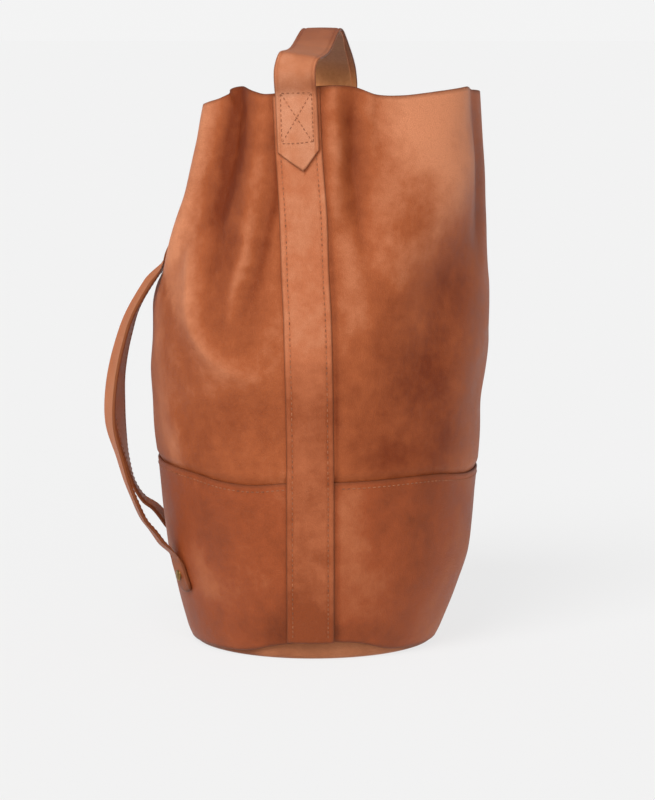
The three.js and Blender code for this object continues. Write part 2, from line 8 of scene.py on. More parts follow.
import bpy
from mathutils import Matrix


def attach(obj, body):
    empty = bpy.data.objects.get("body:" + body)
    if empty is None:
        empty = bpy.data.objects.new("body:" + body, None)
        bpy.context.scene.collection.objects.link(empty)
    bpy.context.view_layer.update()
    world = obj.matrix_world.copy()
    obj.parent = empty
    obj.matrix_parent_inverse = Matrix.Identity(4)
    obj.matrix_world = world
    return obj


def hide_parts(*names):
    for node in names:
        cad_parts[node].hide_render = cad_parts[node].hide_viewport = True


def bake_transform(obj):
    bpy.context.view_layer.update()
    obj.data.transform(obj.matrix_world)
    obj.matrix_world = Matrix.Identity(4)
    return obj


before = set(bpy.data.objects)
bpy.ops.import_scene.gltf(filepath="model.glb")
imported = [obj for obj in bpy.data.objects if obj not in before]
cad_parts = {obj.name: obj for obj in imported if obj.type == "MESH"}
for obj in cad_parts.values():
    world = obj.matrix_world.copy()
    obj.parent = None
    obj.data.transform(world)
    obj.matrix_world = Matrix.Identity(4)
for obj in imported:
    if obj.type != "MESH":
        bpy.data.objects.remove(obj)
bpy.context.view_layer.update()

import math

import bpy
import numpy as np

# ---------------------------------------------------------------- driving dimensions, in millimetres

METRES = 0.001
LEATHER = 2.0
LEFT, RIGHT = -1, 1
SIDES = ((LEFT, "left"), (RIGHT, "right"))

# Cross-sections of the outer wall: height, centre, front, back and side half-widths, and how far the side
# strips are turned apart.
CENTRE, FRONT, BACK, SIDE, TWIST = 1, 2, 3, 4, 5
SECTIONS = np.array(
    [
        (0, 0, 96, 95, 92, 0),
        (12, 0, 102, 100, 97, 0),
        (44, 0, 114, 108, 108, 0),
        (76, 0, 123, 115.5, 115, 0),
        (139, 0, 129.5, 122.5, 122, 0),
        (202, 0, 135, 125.5, 126, 0.5),
        (266, 0, 139, 125.5, 127, 2),
        (297, 0.3, 137.5, 117.5, 125, 4),
        (329, 0.8, 135.5, 105, 121, 6.5),
        (361, 2, 133.5, 94.5, 117, 10.1),
        (392, 3, 131, 88.5, 112, 13.5),
        (440, 4.2, 125, 79.5, 103, 16.8),
    ]
)

RIM_HEIGHT, RIM_TILT_FRONT, RIM_TILT_LEFT = 428.5, 5, 5.5
PANEL_HEM = 126
CUFF_LAP = 2.1  # the upper panels lie this far inside the cuff
STRIP_WIDTH = 34.5
STRIP_DRIFT = -1.6  # how far towards the back the left strip is sewn
DRIFT_FULL, DRIFT_END = 290, 350  # the drift fades out between these heights
STRIP_BASE, STRIP_FACE = 0.15, 2.25  # offsets of a side strip's two faces
STRIP_STEP = 0.9  # how much further out the strip lies on the cuff than on the panels
STRIP_CROWN = 0.35  # how far its middle stands proud
HANDLE_WIDTH, HANDLE_THICKNESS = 31, 1.9
TAB_TIP = 377
TIP_SHIFT = 3.0  # how far the point of a tab lies from its middle
BACK_CUT, FRONT_CUT = 0.75, 1.3  # how steeply the two edges of the point rise
TAB_CUT_COSINE = 1 / math.sqrt(1 + FRONT_CUT**2)
STRAP_WIDTH, STRAP_THICKNESS = 28, 2.8

# ---------------------------------------------------------------- curves and surfaces


def smooth(x, low, high):
    """0 below low, 1 above high, and a smooth step between."""
    t = np.clip((np.asarray(x, float) - low) / (high - low), 0, 1)
    return t * t * (3 - 2 * t)


def bell(x, middle, width):
    return np.exp(-(((np.asarray(x, float) - middle) / width) ** 2))


def unit(vectors):
    vectors = np.asarray(vectors, float)
    return vectors / np.maximum(np.linalg.norm(vectors, axis=-1, keepdims=True), 1e-9)


def spline(points, steps):
    """A smooth curve through points, with a number of steps in each span."""
    points = np.asarray(points, float)
    padded = np.vstack([2 * points[0] - points[1], points, 2 * points[-1] - points[-2]])
    out = []
    for k in range(len(points) - 1):
        a, b, c, d = padded[k : k + 4]
        t = np.linspace(0, 1, steps, endpoint=False)[:, None]
        curve = 2 * b + (c - a) * t + (2 * a - 5 * b + 4 * c - d) * t**2 + (3 * b - a - 3 * c + d) * t**3
        out.append(curve / 2)
    return np.vstack(out + [points[-1:]])


def read_table(table, places, at):
    """A table's columns, whose rows lie at places, read between them."""
    return np.stack([np.interp(at, places, table[:, k]) for k in range(table.shape[1])], -1)


def lengths_along(points):
    return np.concatenate([[0], np.cumsum(np.linalg.norm(np.diff(points, axis=0), axis=1))])


def resample(points, count):
    """The same curve as count points, evenly spaced along it."""
    lengths = lengths_along(points)
    return read_table(points, lengths, np.linspace(0, lengths[-1], count))


def hermite(t, span, start, end, start_slope, end_slope):
    """A smooth curve's value at a share t of a span, from its values and slopes at both ends."""
    return (
        (2 * t**3 - 3 * t**2 + 1) * start
        + (t**3 - 2 * t**2 + t) * span * start_slope
        + (3 * t**2 - 2 * t**3) * end
        + (t**3 - t**2) * span * end_slope
    )


def round_curve(angle, points):
    """A smooth closed curve of heights round the bag, through (degrees, height) points in rising order."""
    angle = np.degrees(np.asarray(angle, float))
    places = np.array([p[0] for p in points], float)
    heights = np.array([p[1] for p in points], float)
    places = np.concatenate([places - 360, places, places + 360])
    heights = np.tile(heights, 3)
    turned = (angle - places[len(points)]) % 360 + places[len(points)]
    k = np.clip(np.searchsorted(places, turned, side="right") - 1, 1, len(places) - 3)
    span = places[k + 1] - places[k]
    t = (turned - places[k]) / span
    slope = (heights[k + 1] - heights[k - 1]) / (places[k + 1] - places[k - 1])
    next_slope = (heights[k + 2] - heights[k]) / (places[k + 2] - places[k])
    return hermite(t, span, heights[k], heights[k + 1], slope, next_slope)


def section(column, z):
    """One smooth curve through the sections' values in a column, read at height z."""
    heights, values = SECTIONS[:, 0], SECTIONS[:, column]
    slopes = np.empty_like(values)
    slopes[1:-1] = (values[2:] - values[:-2]) / (heights[2:] - heights[:-2])
    slopes[0] = (values[1] - values[0]) / (heights[1] - heights[0])
    slopes[-1] = (values[-1] - values[-2]) / (heights[-1] - heights[-2])
    z = np.asarray(z, float)
    k = np.clip(np.searchsorted(heights, z) - 1, 0, len(heights) - 2)
    span = heights[k + 1] - heights[k]
    t = (z - heights[k]) / span
    return hermite(t, span, values[k], values[k + 1], slopes[k], slopes[k + 1])


def wall(angle, z, offset=0.0):
    """The plain wall at an angle round the bag: 0 at the front, -90 degrees on the left."""
    angle, z, offset = np.broadcast_arrays(angle, z, offset)
    forward, sideways = np.cos(angle), np.sin(angle)
    reach = np.where(forward >= 0, section(FRONT, z), section(BACK, z)) + offset
    x = section(CENTRE, z) + section(TWIST, z) * sideways + reach * forward
    y = (section(SIDE, z) + offset) * sideways
    return np.stack([x, y, z], -1)


def beside_strip(side, x, z):
    """The angle at a distance x from a side strip's centre line."""
    reach = np.where(np.asarray(x) >= 0, section(FRONT, z), section(BACK, z))
    return side * (math.pi / 2 - np.arcsin(np.clip(x / reach, -1, 1)))


def on_back(y, z):
    """The angle at a distance y from the middle of the back."""
    return math.pi - np.arcsin(np.clip(y / section(SIDE, z), -1, 1))


def on_front(y, z):
    """The angle at a distance y from the middle of the front."""
    return np.arcsin(np.clip(y / section(SIDE, z), -1, 1))


# ---------------------------------------------------------------- how the leather lies

# Heights round the bag, as (degrees from the front, millimetres): the mouth's edge above or below its
# mean plane, and the two edges of the cuff.
RIM_WAVES = [
    (-180, -1), (-152, -3), (-146, -1.5), (-141, 0.8), (-137.5, 5.4), (-132, 7.6), (-125, 7.2),
    (-114, 2.6), (-107, 0), (-97, 0.5), (-86, 3.2), (-76, 3.7), (-69, 1.8), (-62, -4), (-53, -5),
    (-43, -3.1), (-30, 0), (-21, 1.3), (-5, -1.3), (20, 1), (45, 2.5), (75, -2), (105, -1), (140, 2.5),
    (162, 0),
]
CUFF_TOP = [
    (-180, 146), (-141, 143.6), (-125, 139.4), (-111, 138.4), (-99, 141), (-75, 141.8), (-45, 142.6),
    (-20, 137.8), (20, 140), (60, 141), (95, 144), (140, 146),
]
CUFF_HEM = [
    (-180, 4), (-145, 4.5), (-122, 6), (-105, 13), (-88, 16), (-70, 14), (-52, 6), (-25, 4), (30, 4),
    (60, 8), (90, 13), (120, 7),
]


def cuff_top(angle):
    return round_curve(angle, CUFF_TOP)


def cuff_hem(angle):
    return round_curve(angle, CUFF_HEM)


def rim(angle):
    """The height of the mouth's edge."""
    tilt = RIM_TILT_FRONT * np.cos(angle) - RIM_TILT_LEFT * np.sin(angle)
    return RIM_HEIGHT + tilt + round_curve(angle, RIM_WAVES)


# Folds in the soft upper leather: the side of the bag, the fold's width, how sharp its bottom or crest is,
# and its points as (distance across that side, height, how far it stands out).
FOLDS = [
    ("left", 12, 0.2, [(-61, 444, -6), (-62, 434, -8), (-63, 418, -9), (-65, 403, -9),
        (-67, 383, -8), (-69, 366, -6.5), (-74, 335, -4.5), (-79, 300, -3), (-84, 268, -0.8),
        (-86, 250, 0)]),
    ("left", 5, 0.8, [(-80, 446, -4), (-75, 437, -6.5), (-71, 429, -5), (-68, 421, -1.5),
        (-67, 412, 0)]),
    ("left", 13, 0, [(-94, 330, 1.5), (-94, 305, 2.6), (-93, 268, 2.8), (-90, 255, 2.8),
        (-83, 244, 2.8), (-72, 233, 2.6), (-61, 226, 2.6), (-50, 222, 2.2), (-38, 223, 1.6),
        (-29, 230, 0)]),
    ("left", 4.5, 0, [(-94, 322, 0), (-94, 303, 0.8), (-93, 268, 1.1), (-90, 255, 1.1),
        (-83, 244, 1.1), (-72, 233, 1.1), (-61, 226, 1), (-50, 222, 0.8), (-38, 223, 0.6),
        (-29, 230, 0)]),
    ("left", 10, 0, [(-38, 430, 1.5), (-42, 385, 3), (-48, 339, 4), (-49, 315, 4), (-55, 298, 3.5),
        (-60, 278, 3), (-62, 259, 2), (-60, 238, 0)]),
    ("left", 4.5, 0, [(-47, 345, 0), (-49, 315, 1.2), (-55, 298, 1.3), (-60, 278, 1.2),
        (-62, 255, 0)]),
    ("left", 8, 0.2, [(-25, 436, -2), (-28, 400, -3), (-31, 365, -3.8), (-36, 335, -4),
        (-42, 309, -3), (-45, 291, -2), (-48, 268, 0)]),
    ("left", 13, 0, [(-82, 444, 5), (-84, 410, 6), (-88, 380, 4.5), (-93, 350, 2)]),
    ("left", 6, 0, [(15, 440, 3), (17, 400, 3), (17, 360, 2.4), (15, 322, 0)]),
    ("left", 9, 0.2, [(31, 444, -2), (31, 410, -4), (32, 375, -6), (36, 345, -5), (40, 318, -3),
        (45, 292, -1.5), (50, 266, 0)]),
    ("left", 5, 0, [(46, 438, 0), (48, 420, -1.6), (49, 396, -1), (50, 380, 0)]),
    ("left", 34, 0, [(94, 445, 7.5), (96, 405, 7.5), (97, 365, 5.5), (97, 330, 2), (96, 300, 0)]),
    ("left", 24, 0, [(62, 420, 1), (66, 380, 3), (60, 330, 3), (50, 290, 1)]),
    ("left", 26, 0, [(112, 372, 1.5), (92, 352, 2), (76, 314, 2.5), (62, 272, 2.5), (50, 232, 1.5),
        (40, 204, 0)]),
    ("left", 34, 0, [(116, 335, -2), (106, 300, -3.5), (94, 254, -4.5), (84, 210, -4.5),
        (72, 165, -3)]),
    ("left", 20, 0, [(-40, 200, -0.5), (-72, 192, -2.5), (-98, 196, -2)]),
    ("right", 10, 0.4, [(40, 430, -6), (48, 395, -6), (56, 350, -5), (60, 300, -4), (52, 250, 0)]),
    ("right", 13, 0, [(74, 400, 1), (82, 345, 4), (84, 290, 4), (70, 240, 3), (40, 215, 0)]),
    ("right", 9, 0.4, [(-32, 428, -6), (-36, 390, -5), (-42, 345, -4), (-40, 300, 0)]),
    ("right", 14, 0, [(-60, 425, 3), (-64, 380, 4), (-58, 320, 4), (-40, 270, 1)]),
    ("right", 22, 0, [(-90, 270, -2), (-60, 235, -4), (-20, 210, -2)]),
    ("front", 16, 0.2, [(-24, 436, -3), (-20, 395, -4), (-26, 340, -4), (-40, 290, 0)]),
    ("front", 18, 0, [(30, 436, -2), (36, 390, -4), (30, 330, -4), (10, 280, 0)]),
    ("front", 20, 0, [(-40, 245, 0), (10, 232, 1.5), (60, 240, 1.5)]),
    ("front", 22, 0, [(-30, 200, -1), (20, 190, -1.5), (70, 205, -2)]),
    ("back", 14, 0, [(-50, 445, 1.5), (-50, 405, 5), (-51, 380, 7.4), (-51, 358, 9.8),
        (-50, 329, 10.6), (-48, 304, 6), (-46, 282, 0)]),
    ("back", 14, 0, [(52, 440, 4), (52, 400, 5), (53, 360, 8), (51, 325, 7), (48, 290, 0)]),
    ("back", 34, 0, [(0, 440, -4), (0, 400, -7.5), (0, 350, -6), (0, 312, -5), (0, 284, 0)]),
    ("back", 20, 0, [(-60, 235, 0), (-20, 215, 2), (40, 220, 2), (80, 245, 0)]),
]
# Painted light and shade: where the wall's colour is painted darker in hollows and shade, or paler on lit
# crests and sheen, in the same form.
PAINTED_SHADING = [
    ("left", 17, 0, [(-58, 436, -0.25), (-61, 408, -0.6), (-65, 384, -0.65), (-69, 358, -0.4),
        (-74, 325, -0.15), (-77, 295, -0.05), (-80, 275, 0)]),
    ("left", 4.5, 0, [(-94, 322, 0), (-94, 303, 0.08), (-93, 268, 0.08), (-90, 255, 0.08),
        (-83, 244, 0.08), (-72, 233, 0.08), (-61, 226, 0.08), (-50, 222, 0.08), (-38, 223, 0.06),
        (-29, 230, 0)]),
    ("left", 4.5, 0, [(-47, 345, 0), (-49, 315, 0.15), (-55, 298, 0.15), (-60, 278, 0.15),
        (-62, 255, 0)]),
    ("left", 4, 0, [(-23, 420, 0), (-25, 395, -0.15), (-27, 360, -0.2), (-34, 325, -0.25),
        (-40, 300, -0.15), (-44, 275, 0)]),
    ("left", 9, 0, [(27, 444, -0.15), (27, 425, -0.2), (28, 400, -0.15), (31, 372, 0)]),
    ("left", 9, 0, [(23, 350, 0), (24, 328, 0.14), (26, 300, 0.22), (30, 274, 0.18), (33, 252, 0)]),
    ("left", 9, 0, [(-47, 385, 0), (-47, 365, -0.15), (-49, 350, -0.25), (-54, 335, -0.22),
        (-61, 318, -0.22), (-64, 300, -0.16), (-66, 280, 0)]),
    ("left", 12, 0, [(84, 388, 0), (82, 366, -0.14), (80, 340, -0.24), (77, 315, -0.22),
        (71, 290, -0.16), (68, 262, -0.2), (68, 235, -0.18), (72, 212, 0)]),
    ("left", 34, 0, [(66, 425, 0.2), (84, 405, 0.35), (100, 385, 0.25)]),
    ("left", 16, 0, [(76, 385, -0.05), (72, 368, -0.22), (68, 350, -0.28), (61, 332, -0.28),
        (56, 314, -0.3), (54, 296, -0.22), (54, 262, -0.22), (54, 240, -0.25), (58, 220, -0.12),
        (60, 200, 0)]),
    ("left", 40, 0, [(106, 300, -0.05), (92, 250, -0.12), (82, 200, -0.22), (88, 150, -0.25)]),
    ("left", 13, 0, [(36, 155, -0.18), (56, 156, -0.22), (82, 161, -0.2), (108, 169, -0.12)]),
    ("left", 10, 0, [(-104, 185, 0), (-106, 165, 0.2), (-106, 140, 0.3)]),
    ("left", 12, 0, [(-114, 315, -0.2), (-114, 270, -0.2), (-112, 230, -0.12)]),
]
# Painted light and shade on the cuff: darker in shade and above the hem, paler where the light catches it, in
# the same form.
CUFF_PAINTED_SHADING = [
    ("left", 20, 0, [(-50, 130, -0.15), (-47, 105, -0.25), (-47, 75, -0.12), (-45, 50, -0.05)]),
    ("left", 24, 0, [(86, 130, -0.25), (84, 100, -0.25), (78, 60, -0.25), (70, 35, -0.2)]),
    ("left", 14, 0, [(28, 130, 0.12), (28, 100, 0.15), (26, 75, 0.08)]),
    ("left", 14, 0, [(-95, 118, 0.12), (-91, 80, 0.3), (-84, 55, 0.25)]),
    ("left", 14, 0, [(-45, 20, -0.1), (-22, 24, -0.35), (0, 26, -0.4), (25, 24, -0.35),
        (60, 18, -0.15)]),
]
# Folds in the cuff, which is stiffer.
CUFF_FOLDS = [
    ("left", 26, 0, [(-104, 120, -1), (-88, 90, -2.5), (-80, 50, -1)]),
    ("left", 24, 0, [(-60, 130, 1), (-54, 90, 1.5), (-52, 50, 0.5)]),
    ("left", 26, 0, [(40, 125, 0), (50, 85, -0.5), (48, 40, 0)]),
    ("left", 28, 0, [(86, 128, 1), (84, 85, 1), (76, 45, 0)]),
    ("right", 26, 0, [(60, 125, 2), (54, 80, 2), (50, 40, 0)]),
    ("right", 26, 0, [(-50, 125, -1), (-60, 80, -2.5), (-54, 40, 0)]),
    ("front", 26, 0, [(-30, 125, 1), (-36, 80, 2), (-30, 40, 0)]),
    ("front", 26, 0, [(40, 125, -2), (34, 80, -2), (30, 40, 0)]),
]


def side_point(side, across, z):
    """A point of the plain wall, at a distance across one side of the bag."""
    across, z = np.asarray(across, float), np.asarray(z, float)
    if side in ("left", "right"):
        sign = LEFT if side == "left" else RIGHT
        middle = section(CENTRE, z) + section(TWIST, z) * sign
        return wall(beside_strip(sign, across - middle, z), z)
    return wall(on_front(across, z) if side == "front" else on_back(across, z), z)


def distance_to_curve(points, curve):
    """Each point's distance to a curve of straight steps, and how far along it the nearest place is."""
    best = np.full(points.shape[:-1], np.inf)
    place = np.zeros(points.shape[:-1])
    for k in range(len(curve) - 1):
        step = curve[k + 1] - curve[k]
        t = np.clip(((points - curve[k]) @ step) / (step @ step), 0, 1)
        distance = np.linalg.norm(points - curve[k] - t[..., None] * step, axis=-1)
        nearer = distance < best
        best = np.where(nearer, distance, best)
        place = np.where(nearer, k + t, place)
    return best, place


FOLD_STEPS = 4
SHARP_RADIUS, SHARP_REACH = 1.2, 0.55  # a sharp fold's rounding, and its width as a share of a soft one's


def folds(points, listed):
    """How far the listed folds move the wall at these points."""
    total = np.zeros(points.shape[:-1])
    for side, width, sharpness, path in listed:
        line = spline(np.array(path, float), FOLD_STEPS)
        curve = side_point(side, line[:, 0], line[:, 1])
        distance, place = distance_to_curve(points, curve)
        height = np.interp(place, np.arange(len(line)), line[:, 2])
        soft = np.exp(-((distance / width) ** 2))
        rounded = np.sqrt(distance**2 + SHARP_RADIUS**2) - SHARP_RADIUS
        sharp = np.exp(-rounded / (SHARP_REACH * width))
        total += height * (soft * (1 - sharpness) + sharp * sharpness)
    return total


# Broad uneven dents, as (about how deep, a seed for their directions, wavelength).
DENTS = [(0.9, 3, 95), (0.35, 8, 38)]
CUFF_DENTS = [(0.7, 5, 110), (0.2, 9, 40)]
DENT_WAVES = 14


def dents(points, listed):
    """How far the listed dents move the wall at these points, as sums of waves in chance directions."""
    total = np.zeros(points.shape[:-1])
    for depth, seed, wavelength in listed:
        rng = np.random.RandomState(seed)
        waves = np.zeros_like(total)
        for _ in range(DENT_WAVES):
            direction = rng.normal(size=3)
            direction /= np.linalg.norm(direction)
            length = wavelength * rng.uniform(0.7, 1.6)
            waves += np.sin(points @ direction * (2 * math.pi / length) + rng.uniform(0, 2 * math.pi))
        total += depth * waves / math.sqrt(DENT_WAVES)
    return total


SOFT_FROM, SOFT_FULL = 128, 182  # the wall is as stiff as the cuff below, and as soft as the panels above
PLAIN_BELOW, WORN_ABOVE = 4, 40  # the foot stays plain


def relief(angle, z):
    """How far the leather stands out from the plain wall."""
    angle, z = np.broadcast_arrays(np.asarray(angle, float), np.asarray(z, float))
    points = wall(angle, z)
    upper = folds(points, FOLDS) + dents(points, DENTS)
    lower = folds(points, CUFF_FOLDS) + dents(points, CUFF_DENTS)
    share = smooth(z, SOFT_FROM, SOFT_FULL)
    return (upper * share + lower * (1 - share)) * smooth(z, PLAIN_BELOW, WORN_ABOVE)


def lapped(angle, z):
    """The upper panels step inwards where the cuff covers them."""
    return -CUFF_LAP * (1 - smooth(z - cuff_top(angle), 0.5, 7))


def panel_surface(angle, z, offset=0.0):
    return wall(angle, z, offset + relief(angle, z) + lapped(angle, z))


def cuff_surface(angle, z, offset=0.0):
    return wall(angle, z, offset + relief(angle, z))


def strip_drift(side, z):
    """The left strip is sewn a little towards the back, below its upper part."""
    return STRIP_DRIFT * (1 - smooth(z, DRIFT_FULL, DRIFT_END)) * (side == LEFT)


def strip_surface(side, x, z, offset=0.0):
    """A side strip's place: over the cuff below, over the panels above, with a small step between."""
    angle = beside_strip(side, x + strip_drift(side, z), z)
    step = STRIP_STEP * (1 - smooth(z - cuff_top(angle), -3, 10))
    return wall(angle, z, offset + relief(angle, z) + step - STRIP_STEP)


def tab_point(x):
    """The height of the cut point at the lower end of the handle's tabs."""
    return TAB_TIP + np.where(x < TIP_SHIFT, BACK_CUT, FRONT_CUT) * np.abs(x - TIP_SHIFT)


# ---------------------------------------------------------------- meshes


def build_mesh(name, vertices, faces, materials, face_material=None, tone=None, edge=None):
    """A smooth-shaded object from arrays in millimetres. faces is a list of arrays of one face size each, and
    tone and edge are values for each vertex that the materials read."""
    mesh = bpy.data.meshes.new(name)
    vertices = np.asarray(vertices, float).reshape(-1, 3) * METRES
    sizes = np.concatenate([np.full(len(f), f.shape[1]) for f in faces])
    corners = np.concatenate([f.ravel() for f in faces]).astype(np.int32)
    starts = np.concatenate([[0], np.cumsum(sizes)[:-1]]).astype(np.int32)
    mesh.vertices.add(len(vertices))
    mesh.vertices.foreach_set("co", vertices.astype(np.float32).ravel())
    mesh.loops.add(len(corners))
    mesh.loops.foreach_set("vertex_index", corners)
    mesh.polygons.add(len(sizes))
    mesh.polygons.foreach_set("loop_start", starts)
    mesh.polygons.foreach_set("use_smooth", np.ones(len(sizes), bool))
    if face_material is not None:
        mesh.polygons.foreach_set("material_index", np.asarray(face_material, np.int32))
    for label, values in (("tone", tone), ("edge", edge)):
        if values is not None:
            attribute = mesh.attributes.new(label, "FLOAT", "POINT")
            attribute.data.foreach_set("value", np.asarray(values, np.float32).ravel())
    mesh.update(calc_edges=True)
    mesh.validate()
    for material in materials:
        mesh.materials.append(material)
    obj = bpy.data.objects.new(name, mesh)
    bpy.context.scene.collection.objects.link(obj)
    return obj


EDGE_RINGS = 3
EDGE_BLEED = 0.6  # how far the burnished edge's colour runs onto the faces


def border(rows, columns):
    """The grid places round a sheet's border, in order, as (row, column) pairs."""
    bottom = [(0, c) for c in range(columns)]
    right = [(r, columns - 1) for r in range(1, rows)]
    top = [(rows - 1, c) for c in range(columns - 2, -1, -1)]
    left = [(r, 0) for r in range(rows - 2, 0, -1)]
    return np.array(bottom + right + top + left)


def leather_sheet(name, outer, inner, materials, tone=None):
    """A closed sheet of leather between two grids of points, with rounded edges. The first material covers
    the outer face and the edges, and the second the inner face."""
    rows, columns = outer.shape[:2]
    count = rows * columns
    places = border(rows, columns)
    around = places[:, 0] * columns + places[:, 1]
    inwards = np.clip(places, 1, [rows - 2, columns - 2])
    at, next_in = (places[:, 0], places[:, 1]), (inwards[:, 0], inwards[:, 1])
    outward = unit(outer[at] - outer[next_in] + inner[at] - inner[next_in])
    middle, half = (outer[at] + inner[at]) / 2, (outer[at] - inner[at]) / 2
    radius = np.linalg.norm(half, axis=-1, keepdims=True)
    rings = []
    for k in range(1, EDGE_RINGS + 1):
        turn = math.pi * k / (EDGE_RINGS + 1)
        rings.append(middle + half * math.cos(turn) + outward * radius * math.sin(turn))
    vertices = np.vstack([outer.reshape(-1, 3), inner.reshape(-1, 3)] + rings)

    r, c = np.meshgrid(np.arange(rows - 1), np.arange(columns - 1), indexing="ij")
    corner = (r * columns + c).ravel()
    quads = np.stack([corner, corner + 1, corner + columns + 1, corner + columns], -1)
    loops = [around] + [2 * count + k * len(around) + np.arange(len(around)) for k in range(EDGE_RINGS)]
    loops.append(count + around)
    sides = []
    for above, below in zip(loops[:-1], loops[1:]):
        sides.append(np.stack([above, below, np.roll(below, -1), np.roll(above, -1)], -1))
    sides = np.vstack(sides)
    inside = quads[:, ::-1] + count
    along = outer[0, 1] - outer[0, 0]
    up = outer[1, 0] - outer[0, 0]
    if np.dot(np.cross(along, up), outer[0, 0] - inner[0, 0]) < 0:
        quads, inside, sides = quads[:, ::-1], inside[:, ::-1], sides[:, ::-1]
    face_material = np.zeros(len(quads) + len(inside) + len(sides), int)
    if len(materials) > 1:
        face_material[len(quads) : len(quads) + len(inside)] = 1
    edge = np.zeros(len(vertices))
    edge[2 * count :] = 1
    edge[around] = EDGE_BLEED
    edge[count + around] = EDGE_BLEED
    shade = np.zeros(len(vertices))
    if tone is not None:
        shade[:count] = tone.ravel()
        shade[count : 2 * count] = tone.ravel()
        shade[2 * count :] = np.tile(tone[at], EDGE_RINGS)
    return build_mesh(name, vertices, [quads, inside, sides], materials, face_material, shade, edge)


# A stitch's cross-rings, as (place along its half length, share of its radius, height in radii).
STITCH_RINGS = (
    (-1.0, 0.3, -1.1), (-0.72, 0.85, -0.15), (0.0, 1.0, 0.2), (0.72, 0.85, -0.15), (1.0, 0.3, -1.1)
)
STITCH_SIDES = 6
STITCH_RADIUS = 0.42


def stitch_rows(name, rows, material, pitch=4.0, length=2.9):
    """Rows of stitches as one mesh. Each row is (points, outward normals), and each stitch dives into the
    leather at both ends."""
    vertices, quads, triangles = [], [], []
    turns = np.arange(STITCH_SIDES) * 2 * math.pi / STITCH_SIDES
    start = 0
    for points, normals in rows:
        lengths = lengths_along(points)
        count = max(int(lengths[-1] / pitch), 1)
        places = (np.arange(count) + 0.5) * lengths[-1] / count
        centre, out = read_table(points, lengths, places), read_table(normals, lengths, places)
        before = read_table(points, lengths, places - 0.4 * pitch)
        after = read_table(points, lengths, places + 0.4 * pitch)
        along = unit(after - before)
        out = unit(out - along * np.sum(out * along, -1, keepdims=True))
        across = np.cross(along, out)
        rings = []
        for place, size, height in STITCH_RINGS:
            middle = centre + along * place * length / 2 + out * height * STITCH_RADIUS
            sideways = across[:, None] * (np.cos(turns) * STITCH_RADIUS * size)[None, :, None]
            upwards = out[:, None] * (np.sin(turns) * STITCH_RADIUS * size)[None, :, None]
            rings.append(middle[:, None] + sideways + upwards)
        block = np.stack(rings, 1).reshape(count, -1, 3)
        vertices.append(block.reshape(-1, 3))
        per_stitch = block.shape[1]
        base = start + np.arange(count)[:, None] * per_stitch
        for k in range(len(STITCH_RINGS) - 1):
            for s in range(STITCH_SIDES):
                n = (s + 1) % STITCH_SIDES
                a, b = k * STITCH_SIDES + s, k * STITCH_SIDES + n
                quads.append(base + np.array([[a, b, b + STITCH_SIDES, a + STITCH_SIDES]]))
        last = (len(STITCH_RINGS) - 1) * STITCH_SIDES
        for s in range(1, STITCH_SIDES - 1):
            triangles.append(base + np.array([[0, s + 1, s]]))
            triangles.append(base + np.array([[last, last + s, last + s + 1]]))
        start += count * per_stitch
    faces = [np.vstack(quads), np.vstack(triangles)]
    return build_mesh(name, np.vstack(vertices), faces, [material])


def ring_faces(rings, count):
    """The quads between rings of count points each, in order, and the triangles from the first and the last
    ring to a middle point each, which follow the rings in the list of vertices."""
    k = np.arange(count)
    n = (k + 1) % count
    quads = [
        np.stack([j * count + k, j * count + n, (j + 1) * count + n, (j + 1) * count + k], -1)
        for j in range(rings - 1)
    ]
    first, last, final = rings * count, rings * count + 1, (rings - 1) * count
    first_cap = np.stack([np.full(count, first), n, k], -1)
    last_cap = np.stack([np.full(count, last), final + k, final + n], -1)
    return np.vstack(quads), np.vstack([first_cap, last_cap])


LATHE_SEGMENTS = 48


def lathe(name, profile, place, material):
    """A turned piece at a place, as (origin, axes). Its profile, as (radius, height) points, starts and ends
    on the axis."""
    profile = np.array(profile, float)
    turns = np.arange(LATHE_SEGMENTS) * 2 * math.pi / LATHE_SEGMENTS
    radius, height = profile[1:-1, :1], profile[1:-1, 1:]
    rings = [radius * np.cos(turns)[None], radius * np.sin(turns)[None], np.repeat(height, LATHE_SEGMENTS, 1)]
    local = np.vstack([np.stack(rings, -1).reshape(-1, 3), [[0, 0, profile[0, 1]], [0, 0, profile[-1, 1]]]])
    origin, axes = place
    return build_mesh(name, origin + local @ axes, ring_faces(len(radius), LATHE_SEGMENTS), [material])


# ---------------------------------------------------------------- materials


def feed(tree, socket, value):
    """Links another node's socket, or sets a plain value."""
    if isinstance(value, bpy.types.NodeSocket):
        tree.links.new(value, socket)
    else:
        socket.default_value = value


def node(tree, kind, inputs=(), **settings):
    made = tree.nodes.new(kind)
    for key, value in settings.items():
        setattr(made, key, value)
    for key, value in dict(inputs).items():
        feed(tree, made.inputs[key], value)
    return made


def new_material(name, **shader):
    """A material with its node tree, its Principled shader and the object coordinates."""
    material = bpy.data.materials.new(name)
    material.use_nodes = True
    tree = material.node_tree
    tree.nodes.clear()
    principled = tree.nodes.new("ShaderNodeBsdfPrincipled")
    output = tree.nodes.new("ShaderNodeOutputMaterial")
    tree.links.new(principled.outputs[0], output.inputs[0])
    for key, value in shader.items():
        principled.inputs[key.replace("_", " ")].default_value = value
    place = tree.nodes.new("ShaderNodeTexCoord").outputs["Object"]
    return material, tree, principled, place


BLACK, WHITE = (0, 0, 0, 1), (1, 1, 1, 1)
MIX_FACTOR, MIX_A, MIX_B = 0, 6, 7  # a colour mix node's sockets


def srgb(*values):
    """A colour given as 0 to 255 in sRGB, as linear RGBA."""

    def linear(v):
        v /= 255
        return v / 12.92 if v <= 0.04045 else ((v + 0.055) / 1.055) ** 2.4

    return (*[linear(v) for v in values], 1)


